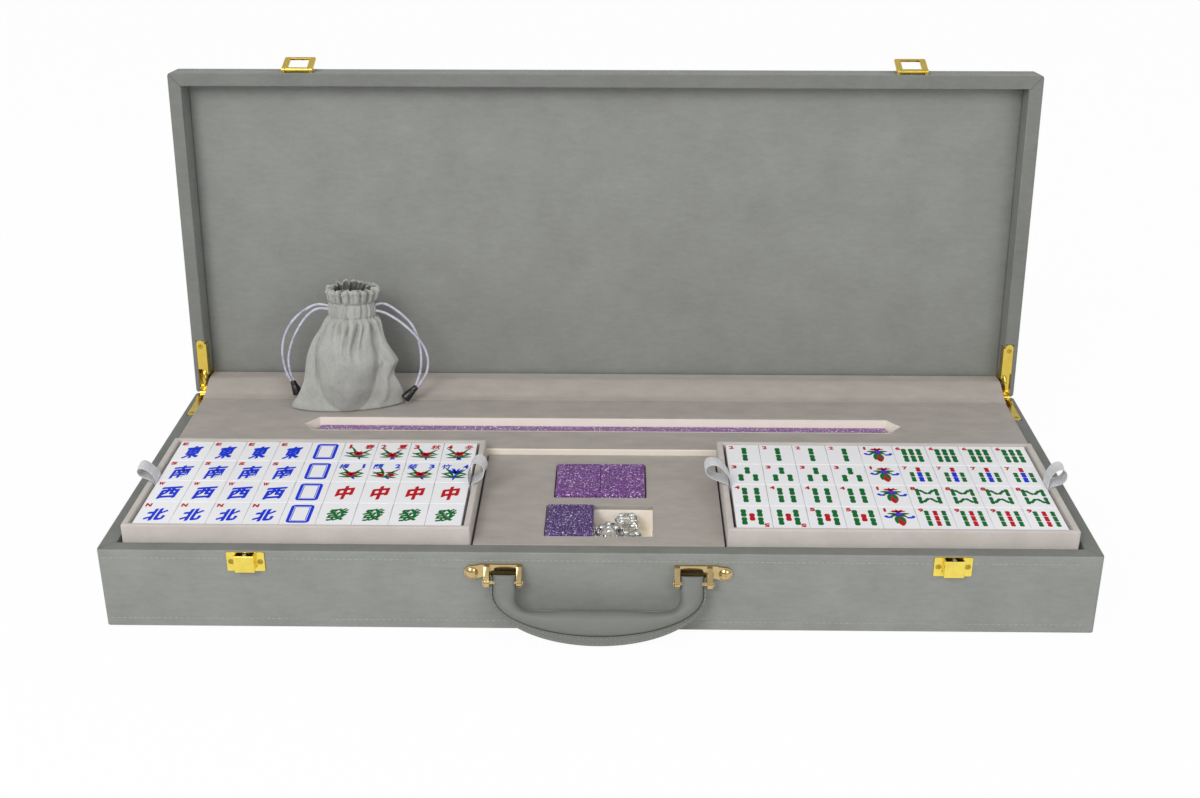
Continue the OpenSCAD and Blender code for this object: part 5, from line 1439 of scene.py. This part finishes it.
@dataclass
class FacePrinter:
    """Draws tile faces as thin inked tablets, centred on a tile's face."""

    low: float = -0.05
    high: float = 0.07
    glyphs: dict[tuple[str, float], tuple[np.ndarray, np.ndarray]] = field(default_factory=dict)

    def letter(self, text: str, size: tuple[float, float], at: tuple[float, float], ink: Ink,
               bold: float = 0.02, heavy: float = 0.0) -> Shape:
        """A character, stretched to a size, with the slight rise to the right of a brush.

        Args:
            text: the character.
            size: its width and height in mm.
            at: its middle.
            ink: its ink.
            bold: offset that thickens its strokes, as a share of its height.
            heavy: how far in mm it is printed twice, once to each side.
        """
        if (text, bold) not in self.glyphs:
            self.glyphs[text, bold] = self.glyph(text, bold)
        flat, triangles = self.glyphs[text, bold]
        lo, hi = flat.min(axis=0), flat.max(axis=0)
        unit = (flat - (lo + hi) / 2) / np.maximum(hi - lo, 1e-6)
        if len(text.encode()) > 1:
            unit = np.stack([unit[:, 0] + 0.1 * unit[:, 1], unit[:, 1] + 0.13 * unit[:, 0]], axis=1)
        elif text == "1":
            unit = unit * (0.42, 1)
        made = self.slab(unit * size + at, triangles).painted(ink.value)
        return made if not heavy else made.at([(-heavy, -heavy, 0), (heavy, heavy, 0.012)])

    def glyph(self, text: str, bold: float) -> tuple[np.ndarray, np.ndarray]:
        """Flat points and triangles of a character, made heavier by an offset."""
        curve = bpy.data.curves.new("glyph", "FONT")
        curve.body, curve.size, curve.offset, curve.resolution_u = text, 1.0, bold, 3
        holder = bpy.data.objects.new("glyph", curve)
        bpy.context.scene.collection.objects.link(holder)
        mesh = bpy.data.meshes.new_from_object(holder.evaluated_get(bpy.context.evaluated_depsgraph_get()))
        mesh.calc_loop_triangles()
        points = np.zeros(len(mesh.vertices) * 3)
        mesh.vertices.foreach_get("co", points)
        triangles = np.zeros(len(mesh.loop_triangles) * 3, int)
        mesh.loop_triangles.foreach_get("vertices", triangles)
        bpy.data.objects.remove(holder)
        bpy.data.curves.remove(curve)
        bpy.data.meshes.remove(mesh)
        flat = points.reshape(-1, 3)[:, :2]
        _, first, back = np.unique(np.round(flat, 5), axis=0, return_index=True, return_inverse=True)
        return flat[first], back.ravel()[triangles].reshape(-1, 3)

    def slab(self, place: np.ndarray, triangles: np.ndarray) -> Shape:
        """Flat triangles made into a thin tablet, with a side at each edge that only one of them has."""
        count = len(place)
        triangles = triangles[np.all(triangles != np.roll(triangles, 1, axis=1), axis=1)]
        edges = np.concatenate([triangles[:, [0, 1]], triangles[:, [1, 2]], triangles[:, [2, 0]]])
        key = np.sort(edges, axis=1)
        _, index, times = np.unique(key, axis=0, return_index=True, return_counts=True)
        rim = edges[index[times == 1]]
        points = np.concatenate([np.column_stack([place, np.full(count, z)]) for z in (self.low, self.high)])
        return Shape.of(points, triangles[:, ::-1], triangles + count,
                        np.stack([rim[:, 0], rim[:, 1], rim[:, 1] + count, rim[:, 0] + count], axis=1))

    def tablets(self, outlines: np.ndarray, ink: Ink, lift: float = 0.0) -> Shape:
        """Inked tablets from outlines."""
        return prisms(outlines, self.low, self.high + lift).painted(ink.value)

    def sticks(self, places: Sequence[tuple[float, float]], size: tuple[float, float], ink: Ink,
               lean: Sequence[float] | float = 0.0) -> Shape:
        """Bamboo sticks: at share t of its length a stick is W (0.74 + 0.26 |sin 2 pi t|) wide, with blunt ends."""
        t = np.concatenate([[0.0, 0.03], np.linspace(0.1, 0.9, 9), [0.97, 1.0]])
        wide = size[0] / 2 * (0.74 + 0.26 * np.abs(np.sin(2 * np.pi * t)))
        wide[[0, -1]] *= 0.45
        outline = np.concatenate([np.stack([wide, (t - 0.5) * size[1]], axis=1),
                                  np.stack([-wide, (t - 0.5) * size[1]], axis=1)[::-1]])
        spots = np.atleast_2d(places)
        a = np.radians(np.broadcast_to(np.asarray(lean, float), (len(spots),)))
        spin = np.stack([np.stack([np.cos(a), np.sin(a)], axis=1), np.stack([-np.sin(a), np.cos(a)], axis=1)], axis=1)
        return self.tablets(outline[None] @ spin + spots[:, None], ink)

    def leaves(self, start: tuple[float, float], angles: Sequence[float], reach: Sequence[float] | float,
               wide: float, ink: Ink, bend: float = 0.25, lift: float = 0.0) -> Shape:
        """Leaves from one point: the middle line bends by a share of its length, the half width is W sin(pi t)^0.7."""
        t = np.linspace(0.02, 0.98, 8)
        a = np.radians(np.asarray(angles, float))[:, None]
        length = np.broadcast_to(np.asarray(reach, float), (len(a),))[:, None]
        turn_side = np.sign(np.cos(a)) * bend
        run, side = length * t, -turn_side * length * t ** 2
        half = wide / 2 * np.sin(np.pi * t) ** 0.7
        along_run = np.concatenate([run, run[:, ::-1]], axis=1)
        across = np.concatenate([side - half, (side + half)[:, ::-1]], axis=1)
        x = start[0] + along_run * np.cos(a) - across * np.sin(a)
        y = start[1] + along_run * np.sin(a) + across * np.cos(a)
        return self.tablets(np.stack([x, y], axis=2), ink, lift)

    def discs(self, places: Sequence[tuple[float, float]], radius: float, ink: Ink, lift: float = 0.0,
              sides: int = 14) -> Shape:
        """Round spots."""
        a = turn_angles(sides)
        ring = radius * np.stack([np.cos(a), np.sin(a)], axis=1)
        return self.tablets(ring[None] + np.atleast_2d(places)[:, None], ink, lift)

    def frame(self, half: tuple[float, float], width: float, radius: float) -> Shape:
        """A rounded frame: a hoop between an outer and an inner rounded rectangle."""
        rows = [(half[0] - k, half[1] - k, max(radius - k, 0.3), z) for k, z in
                ((0, self.low), (0, self.high), (width, self.high), (width, self.low))]
        return loft(rings_of(np.array(rows)), hoop=True).painted(Ink.BLUE.value)

    def face(self, code: str) -> Shape:
        """One tile face by its name."""
        winds = {"E": ("東", 12.8, 22.0, 0.028), "S": ("南", 14.2, 22.0, 0.016), "W": ("西", 14.8, 19.0, 0.028),
                 "N": ("北", 15.0, 18.5, 0.028)}
        if code in winds:
            sign, wide, tall, bold = winds[code]
            return self.letter(sign, (wide, tall), (0.8, -2.6), Ink.BLUE, bold, 0.3) + self.small(
                code, (4.4, 5.0), (-9.0, 12.6))
        if code == "frame":
            return self.frame((8.9, 14.2), 2.5, 3.2) + self.frame((5.9, 11.2), 0.55, 1.0)
        if code == "mid":
            return self.letter("中", (12.8, 22.0), (0.4, -0.8), Ink.RED, 0.03, 0.34)
        if code == "fa":
            return self.letter("發", (16.2, 18.8), (0.4, -0.8), Ink.GREEN, 0.02, 0.22)
        maker = {"s": self.season, "p": self.plant, "b": self.bamboo, "r": self.bamboo, "c": self.character,
                 "d": self.dots}[code[0]]
        return maker(int(code[1:])).turned(180 if code[0] == "r" else 0)

    def small(self, text: str, size: tuple[float, float], at: tuple[float, float], ink: Ink = Ink.RED) -> Shape:
        """A small letter or numeral in a tile's corner."""
        return self.letter(text, size, at, ink, 0.03, 0.16)

    def season(self, value: int) -> Shape:
        """A season tile: red number and character over a flowering plant."""
        sign = self.letter("春夏秋冬"[value - 1], (7.6, 8.2), (7.6, 9.4), Ink.RED, 0.012, 0.12)
        return self.small(str(value), (4.2, 7.0), (-8.4, 9.6)) + sign + self.flowers(value)

    def plant(self, value: int) -> Shape:
        """A plant tile: blue character and number over a plant."""
        sign = self.letter("梅蘭菊竹"[value - 1], (7.6, 8.2), (-7.6, 9.4), Ink.BLUE, 0.012, 0.12)
        return sign + self.small(str(value), (4.2, 7.0), (8.2, 9.6), Ink.BLUE) + self.flowers(value + 4)

    def flowers(self, kind: int) -> Shape:
        """A bunch of leaves round a stem, with up to two flowers of seven petals; each kind leans its own way."""
        lean = (-6, 5, -3, 8, 4, -8, 2, 0)[kind - 1]
        start = (lean * 0.12, -10.5)
        fan = np.array([20, 47, 74, 101, 128, 156]) + lean
        reach = np.array([10, 12.5, 18, 21, 13.5, 10.5]) * (1.0 + 0.06 * math.sin(kind * 2.3))
        parts = [self.leaves(start, fan, reach, 2.3, Ink.GREEN, 0.26)]
        parts.append(self.leaves((lean * 0.1, -2.0), [8, 172], 9.6, 2.6, Ink.GREEN, 0.3))
        spots = {1: [(0, -3.4)], 2: [(0.6, -6)], 3: [(0.6, -4.6)], 4: [(0.4, -3)], 5: [(0, -5)],
                 6: [(-3.8, -6), (4.8, -6)], 7: [(0.4, -4.4)], 8: []}[kind]
        size = 3.4 if kind == 6 else 4.9
        for x, y in spots:
            parts.append(self.leaves((x, y), np.arange(7) * 51.4 + 12, size, size * 0.5, Ink.RED, 0.05, 0.03))
            parts.append(self.discs([(x, y)], size * 0.2, Ink.RED, 0.03, 8))
        blue = {1: [-60], 2: [-90, -50], 3: [-70], 4: [-120, -90, -60], 8: [66, 84, 102, 120, 94, -90]}.get(kind, [-40])
        parts.append(self.leaves((1.0, -10.0 if kind != 8 else -4.0), blue, 4.6 if kind != 8 else 11.0, 1.9, Ink.BLUE,
                                 0.15, 0.03))
        return Shape.joined(parts)

    def bamboo(self, value: int) -> Shape:
        """A bamboo tile: a red numeral and its sticks, or a small bird for one."""
        number = self.small(str(value), (3.8, 5.2), (-9.2, 12.6))
        if value == 1:
            return number + self.bird()
        x, tall = 1.0, (4.3, 11.6)
        if value == 8:
            rows = [self.sticks([(x + dx, s * 6.6) for dx in (-7.4, 7.4)], (3.3, 11.6), Ink.GREEN)
                    + self.sticks([(x + dx, s * 6.9) for dx in (-3.0, 3.0)], (3.0, 8.6), Ink.GREEN, [s * 38, -s * 38])
                    for s in (1, -1)]
            return Shape.joined([number, *rows])
        groups = {
            2: [([x], (6.2, -6.2), tall, Ink.GREEN)],
            3: [([x], (6.4,), tall, Ink.GREEN), ((x - 5.8, x + 5.8), (-6.2,), tall, Ink.GREEN)],
            4: [((x - 4.7, x + 4.7), (6.3, -6.3), tall, Ink.GREEN)],
            5: [((x - 6.2, x + 6.2), (6.3, -6.3), tall, Ink.GREEN), ([x], (0,), tall, Ink.RED)],
            6: [((x - 6.0, x, x + 6.0), (6.2, -6.2), tall, Ink.GREEN)],
            7: [([x], (10.2,), (3.8, 7.6), Ink.RED), ([x], (1.4, -7.2), (4.2, 8.2), Ink.BLUE),
                ((x - 6.2, x + 6.2), (1.4, -7.2), (3.8, 7.8), Ink.GREEN)],
            9: [((x - 6.6, x + 6.6), (8.2, 0, -8.2), (3.7, 7.6), Ink.GREEN),
                ([x], (8.2, 0, -8.2), (3.7, 7.6), Ink.RED)],
        }
        return Shape.joined([number] + [self.sticks(grid(across, down), size, ink)
                                        for across, down, size, ink in groups[value]])

    def bird(self) -> Shape:
        """A plain small bird with a long tail, made of leaves and spots."""
        return Shape.joined([
            self.leaves((0.4, 5.0), [-84], 17.5, 7.2, Ink.RED, 0.06),
            self.leaves((-0.6, 4.0), [-112, -58], [13.0, 12.0], 3.4, Ink.GREEN, 0.24, 0.02),
            self.leaves((0.2, 5.2), [28, 152, -12, 190], [8.6, 8.2, 7.0, 7.4], 3.2, Ink.GREEN, 0.3, 0.02),
            self.leaves((0.6, 8.6), [38, 66, 94, 128, 150], [6.4, 5.6, 5.0, 5.6, 6.2], 2.0, Ink.RED, 0.25, 0.03),
            self.discs([(0.6, 5.6)], 3.1, Ink.BLUE, 0.04),
            self.discs([(0.6, 5.6)], 1.2, Ink.RED, 0.06, 10),
            self.leaves((5.0, 0.0), [14], 6.6, 2.6, Ink.BLUE, 0.2, 0.03),
            self.leaves((-4.6, 0.6), [164], 5.6, 2.6, Ink.BLUE, 0.2, 0.03),
            self.discs([(11.0, 2.2), (-9.6, 2.4)], 1.5, Ink.BLUE, 0.03, 10),
        ])

    def character(self, value: int) -> Shape:
        """A character tile: the numeral in blue over the sign for ten thousand in red."""
        numeral = self.letter("一二三四五六七八九"[value - 1], (13.0, 3.0 if value == 1 else 11.0), (0, 7.6), Ink.BLUE)
        return numeral + self.letter("萬", (13.4, 13.4), (0, -7.4), Ink.RED, 0.01)

    def dots(self, value: int) -> Shape:
        """A dots tile: each dot a round spot with a smaller one of another ink on it."""
        spots = {1: [(0, 0)], 2: grid((0,), (8, -8)), 3: [(-6, 9), (0, 0), (6, -9)], 4: grid((-5, 5), (8, -8)),
                 5: grid((-6, 6), (9, -9)) + [(0, 0)], 6: grid((-5, 5), (9.5, -1, -9)),
                 7: [(-7, 12), (0, 9.6), (7, 7.2)] + grid((-4.6, 4.6), (-2.4, -10)),
                 8: grid((-4.6, 4.6), (12, 4, -4, -12)), 9: grid((-7, 0, 7), (10, 0, -10))}[value]
        size = {1: 8.5, 2: 5.2, 3: 4.2, 4: 4.4, 5: 4.0}.get(value, 3.0)
        ink = Ink.GREEN if value % 2 else Ink.BLUE
        return self.discs(spots, size, ink) + self.discs(spots, size * 0.45, Ink.RED, 0.03, 10)


@dataclass
class Tiles:
    """Thirty-six tiles of one tray, with their faces."""

    place: TrayPlace
    printer: FacePrinter
    size: tuple[float, float, float] = (27.4, 35.75, 22.6)
    pitch: tuple[float, float] = (27.6, 35.95)
    floor: float = 3.8

    @staticmethod
    def body(size: tuple[float, float, float], back_up: bool = False) -> Shape:
        """A tile centred on its top face: rounded block of white with a glitter back of three tenths of its height.

        The rings rise through a quarter circle, then past the joint of the two colours, then in again. Top is at 0.
        """
        w, l, t = size
        r, steps = 0.55, 2
        a = np.radians(np.linspace(-90, 0, steps + 1))
        inset, rise = r * (1 - np.cos(a)), r * (1 + np.sin(a))
        split = -t * 0.3 if back_up else -t * 0.7
        rows = [(w / 2 - i, l / 2 - i, max(r - i, 0.05), -t + q) for i, q in zip(inset, rise)]
        rows += [(w / 2, l / 2, r, split)]
        rows += [(w / 2 - i, l / 2 - i, max(r - i, 0.05), -q) for i, q in zip(inset[::-1], rise[::-1])]
        made = loft(rings_of(np.array(rows), steps))
        centre = np.add.reduceat(made.points[made.corners, 2], np.concatenate([[0], np.cumsum(made.sizes)[:-1]])
                                 ) / made.sizes
        back = centre > split if back_up else centre < split
        return Shape(made.points, made.corners, made.sizes, back.astype(int))

    def build(self) -> None:
        """Make the tiles and the inked faces of the tray."""
        cx, cy, z = self.place.centre
        top = z + self.floor + self.size[2]
        columns = cx + (np.arange(9) - 4) * self.pitch[0]
        rows = cy + (1.5 - np.arange(4)) * self.pitch[1]
        spots = np.array([(x, y, top) for y in rows for x in columns])
        node = f"tiles_{self.place.label}"
        piece(f"{node}_bodies", self.body(self.size).at(spots), [TILE, BACK], node)
        codes = np.array([code for row in self.place.faces for code in row])
        inked = Shape.joined([self.printer.face(code).at(spots[codes == code]) for code in sorted(set(codes))])
        piece(f"{node}_faces", inked, [BLUE, RED, GREEN], body=BODY_OF[node], slot="tile_white", sharp=30)


@dataclass
class Tray:
    """One cloth-covered tray with its tiles and its two ribbon pulls."""

    place: TrayPlace
    printer: FacePrinter
    outer: tuple[float, float, float] = (131.3, 76.0, 1.6)
    inner: tuple[float, float, float] = (126.3, 72.1, 0.4)
    high: float = 27.8
    floor: float = 3.8
    ribbon_width: float = 15.5

    def build(self) -> None:
        """Make the tray, its tiles and its ribbons."""
        cx, cy, z = self.place.centre
        shape = tub(self.outer, self.inner, (0, self.floor, self.high), 1.4, 0.8).at([(cx, cy, z)])
        piece(f"tray_{self.place.label}_cover", shape, [TRAY], f"tray_{self.place.label}")
        Tiles(self.place, self.printer).build()
        self.ribbon("left", -1)
        self.ribbon("right", 1)

    def ribbon(self, name: str, end: int) -> None:
        """One ribbon pull, standing in a loop over the wall or laid over the tiles of a lower tray.

        A loop is points out from the wall and up from the rim, its place along the wall, its twist and the share
        of the squash direction that points along the case.

        Args:
            name: left or right.
            end: -1 at the tray's left end, 1 at its right.
        """
        cx, cy, z = self.place.centre
        rim, upper = z + self.high, self.place.label.startswith("upper")
        loops = {
            ("upper_left", -1): ([(0.1, -9), (0.0, -2), (0.3, 1.8), (2.6, 6.0), (6.6, 9.8), (10.8, 11.6), (14.0, 10.2),
                                  (14.6, 6.8), (12.4, 3.6), (8.6, 2.0), (4.6, 1.0), (1.7, -0.2), (1.0, -3), (0.9, -9)],
                                 2.5, 3.4, 0.64),
            ("upper_left", 1): ([(0.1, -9), (0.0, -2), (-0.6, 3.0), (-0.4, 9.4), (1.8, 15.4), (6.0, 18.6),
                                 (10.4, 17.0), (12.4, 12.0), (11.2, 6.6), (7.6, 3.2), (3.4, 1.0), (1.0, -2),
                                 (0.9, -9)], 1.0, -3.0, 0.42),
            ("upper_right", -1): ([(0.1, -9), (0.0, -2), (0.4, 2.6), (2.4, 8.2), (7.0, 14.2), (13.0, 17.6),
                                   (18.4, 16.6), (20.6, 12.4), (18.8, 8.0), (13.8, 4.8), (7.4, 2.4), (1.9, 0.1),
                                   (1.0, -3), (0.9, -9)], 3.0, 1.0, 0.64),
            ("upper_right", 1): ([(0.1, -9), (0.0, -2), (0.4, 2.2), (1.6, 8.6), (5.2, 13.8), (9.6, 15.4),
                                  (13.2, 12.6), (13.8, 7.6), (11.4, 3.8), (7.6, 2.2), (4.2, 1.3), (1.7, 0.1),
                                  (1.0, -3), (0.9, -9)], 2.0, -2.0, 0.64),
        }
        if upper:
            points, shift, twist, lean = loops[(self.place.label, end)]
            line = along(np.array(points), 72)
            x = cx + end * (self.inner[0] - 1.75) + end * line[:, 0]
            height = rim + line[:, 1]
        else:
            line = along(np.array([(-0.7, -12), (-0.7, -5), (-0.7, -1.6), (-1.4, -0.1), (-3.6, 0.22), (-9, 0.26),
                                   (-16, 0.24), (-23, 0.2)]), 48)
            x = cx + end * (self.inner[0] + line[:, 0])
            height, shift, twist = rim - 1.05 + line[:, 1], 0.0, 0.0
        path = np.stack([x, np.full_like(x, cy + shift), height], axis=1)
        made = piece(f"ribbon_{self.place.label}_{name}", self.strip(path, twist), [RIBBON],
                     f"ribbons_{self.place.label}", sharp=60)
        if upper:
            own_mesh(made)

    def strip(self, path: np.ndarray, twist: float) -> Shape:
        """A ribbon along a path in the X-Z plane, its width along Y.

        At share u across and v along, the point is the path's plus Y times the half width times u, plus the
        path's normal times a slight cupping 0.45 (u^2 - 0.3) and a twist, both strongest in the loop's middle.
        """
        ahead = directions(np.gradient(path, axis=0))
        normal = np.stack([-ahead[:, 2], np.zeros(len(path)), ahead[:, 0]], axis=1)
        u = np.linspace(-1, 1, 9)
        v = np.linspace(0, 1, len(path))[:, None]
        bulge = np.sin(np.pi * v) ** 2
        cup = 0.45 * bulge * (u[None] ** 2 - 0.3) + twist * 0.35 * bulge * u[None] * np.sin(2.2 * np.pi * v)
        half = self.ribbon_width / 2 * (1 - 0.04 * np.sin(np.pi * v))
        middle = path[:, None] + normal[:, None] * cup[..., None] + np.array([0, 1, 0]) * (half * u)[..., None]
        skin = normal[:, None] * 0.2
        return loft(np.concatenate([middle + skin, (middle - skin)[:, ::-1]], axis=1))


# ---------------------------------------------------------------- handle and metalwork


@dataclass
class Handle:
    """Padded grip on a stitched backing, with the painted edge line between them, in the handle's own plane.

    A point is given by x, by v, how far it is down the plane from the pin, and by n, how far it stands out of it.
    """

    pin: tuple[float, float, float] = (0.0, -153.5, 45.3)
    tilt_deg: float = 24.0
    shoulder: float = 8.0
    top: float = -4.0
    seam: tuple[float, float] = (78.2, 39.2)
    back: tuple[float, float] = (80.5, 47.0)
    opening: tuple[float, float, float] = (61.3, 20.2, 10.0)
    front_n: float = 8.5
    tab_n: float = 3.1

    def build(self) -> None:
        """Make the grip, the backing, the painted line and the stitches."""
        inner, outer = self.mouth(), self.rim(*self.seam)
        piece("handle_grip_pad", self.grip(inner, outer), [GRIP], "handle_grip")
        piece("handle_backing_strap", self.backing(inner, self.rim(*self.back)), [GRIP], "handle_backing")
        line = self.placed(self.rim(self.seam[0] + 0.1, self.seam[1] + 0.15), 0.0)
        piece("handle_edge_line", tube(line, 0.55, 8, (0, -1, 0)), [SEAM], body="handle", slot="case_leather")
        rows = [stitches(self.placed(self.rim(half, reach), -0.3), 3.4, 0.66, radius) for half, reach, radius in
                ((self.back[0] - 0.9, self.back[1] - 1.6, 0.3), (self.seam[0] + 0.9, self.seam[1] + 2.6, 0.26))]
        piece("handle_stitches", Shape.joined(rows), [GRIP_THREAD], body="handle", slot="case_leather")

    def placed(self, flat: np.ndarray, n: np.ndarray | float) -> np.ndarray:
        """Points of the handle's plane, in the frame: the pin plus v down the plane plus n out of it."""
        a = math.radians(self.tilt_deg)
        down, out = np.array([0, -math.sin(a), -math.cos(a)]), np.array([0, -math.cos(a), math.sin(a)])
        n = np.broadcast_to(np.asarray(n, float), flat.shape[:-1])
        return np.array(self.pin) + flat[..., :1] * (1, 0, 0) + flat[..., 1:2] * down + n[..., None] * out

    def rim(self, half: float, reach: float) -> np.ndarray:
        """Outer line: half an ellipse below the shoulder, with straight legs up to the top."""
        a = np.linspace(-np.pi / 2, np.pi / 2, 240)
        curve = np.stack([half * np.sin(a), self.shoulder + (reach - self.shoulder) * np.cos(a)], axis=1)
        return self.with_legs(spaced(curve, 101), half)

    def mouth(self) -> np.ndarray:
        """Inner line: down, round a corner, across and up again, in even steps."""
        half, reach, r = self.opening
        a = np.radians(np.linspace(0, 90, 16))
        corner = np.stack([half - r + r * np.cos(a), reach - r + r * np.sin(a)], axis=1)
        side = np.concatenate([[(half, self.shoulder)], corner])
        curve = np.concatenate([side * (-1, 1), side[::-1]])
        return self.with_legs(spaced(curve, 101), half)

    def with_legs(self, curve: np.ndarray, half: float) -> np.ndarray:
        """The curve with a straight leg at each end."""
        leg = np.linspace(self.top, self.shoulder, 12, endpoint=False)
        return np.concatenate([np.stack([np.full(12, -half), leg], axis=1), curve,
                               np.stack([np.full(12, half), leg[::-1]], axis=1)])

    def grip(self, inner: np.ndarray, outer: np.ndarray) -> Shape:
        """A dome between the two lines, flat behind.

        At share t across, the dome stands h (1 - |2t - 1|^2.7)^0.5 out; h grows from the tab to the grip.
        """
        grow = fade(np.minimum(inner[:, 1], outer[:, 1]), 1.0, 17.0)
        height = self.tab_n + (self.front_n - self.tab_n) * grow
        t, low = (1 - np.cos(np.linspace(0, np.pi, 21))) / 2, -0.35
        back = np.linspace(1, 0, 7)[1:-1]
        dome = np.concatenate([(1 - np.abs(2 * t - 1) ** 2.7) ** 0.5, np.zeros(len(back))])
        share = np.concatenate([t, back])
        n = low + dome[None] * (height[:, None] - low)
        flat = inner[:, None] + share[None, :, None] * (outer - inner)[:, None]
        sag = 0.9 * bell(np.abs(inner[:, 0]), 40, 12) * fade(inner[:, 1], 15, 20)
        flat[..., 1] += sag[:, None] * (1 - share[None])
        return loft(np.concatenate([self.rounded_end(flat[:1], n[:1]), self.placed(flat, n),
                                    self.rounded_end(flat[-1:], n[-1:])[::-1]]))

    def rounded_end(self, flat: np.ndarray, n: np.ndarray) -> np.ndarray:
        """Rings that close the end of a tab: a quarter circle over its thickness."""
        a = np.radians([78, 52, 26])[:, None]
        middle = 1.3
        lifted = np.repeat(flat, 3, axis=0)
        lifted[..., 1] -= 1.6 * np.sin(a)
        return self.placed(lifted, middle + (np.repeat(n, 3, axis=0) - middle) * np.cos(a))

    def backing(self, inner: np.ndarray, outer: np.ndarray) -> Shape:
        """A flat strap with rounded edges between the two lines."""
        share = np.array([0.0, 0.012, 0.03, 0.97, 0.988, 1.0, 1.0, 0.988, 0.97, 0.03, 0.012, 0.0])
        n = np.array([-0.9, -0.5, -0.42, -0.42, -0.5, -0.9, -2.6, -3.0, -3.15, -3.15, -3.0, -2.6])
        flat = inner[:, None] + share[None, :, None] * (outer - inner)[:, None]
        return loft(self.placed(flat, np.broadcast_to(n, flat.shape[:2])))


@dataclass
class Metalwork:
    """Hinges, latches, brackets, pins and screws: the CAD shapes with softened edges, polished.

    Attributes:
        pairs: finish, softening in mm and nodes that have a left and a right one.
        single: the same for nodes that stand alone.
    """

    pairs: tuple[tuple[Metal, float, str], ...] = (
        (BRASS, 0.3, "catch_plate"), (BRASS, 0.5, "catch_nose"), (DEEP_BRASS, 0.22, "hinge_leaf_base"),
        (DEEP_BRASS, 0.22, "hinge_leaf_lid"), (DEEP_BRASS, 0.25, "hasp_plate"), (DEEP_BRASS, 0.45, "hasp"),
        (CHAMPAGNE, 0.45, "handle_bracket"))
    single: tuple[tuple[Metal, float, str], ...] = (
        (DARK_BRASS, 0.3, "hinge_pins"), (DARK_BRASS, 0.2, "hinge_screws_base"), (DARK_BRASS, 0.2, "hinge_screws_lid"),
        (DARK_BRASS, 0.2, "catch_screws"), (DARK_BRASS, 0.2, "hasp_pins"), (DARK_BRASS, 0.2, "hasp_screws"),
        (CHAMPAGNE, 0.35, "handle_pins"), (CHAMPAGNE, 0.3, "handle_rivets"), (STEEL, 0.15, "catch_springs"))

    def build(self) -> None:
        """Make every metal piece."""
        sided = [(finish, width, f"{stem}_{side}") for finish, width, stem in self.pairs for side in ("left", "right")]
        for finish, width, node in [*sided, *self.single]:
            softened(node, f"{node}_metal", [finish], width, 3, 24.0)


# ---------------------------------------------------------------- all together


def main() -> None:
    """Build the camera and the cords first, then every sub-assembly in turn."""
    logging.basicConfig(level=logging.INFO, format="%(message)s")
    Studio().build()
    cords = Drawcords().build()
    bag = Bag().build()
    for soft in [*cords, bag]:
        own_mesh(soft)
    printer = FacePrinter()
    for assembly in (CaseBase(), Lid(), RearDeck(), CentreInsert(), *(Tray(place, printer) for place in TrayPlace),
                     Handle(), Metalwork()):
        assembly.build()
    left = [node for node, made in frame["nodes"].items() if not made.hide_render]
    LOG.info("nodes still shown: %s", left)


if __name__ == "__main__":
    main()
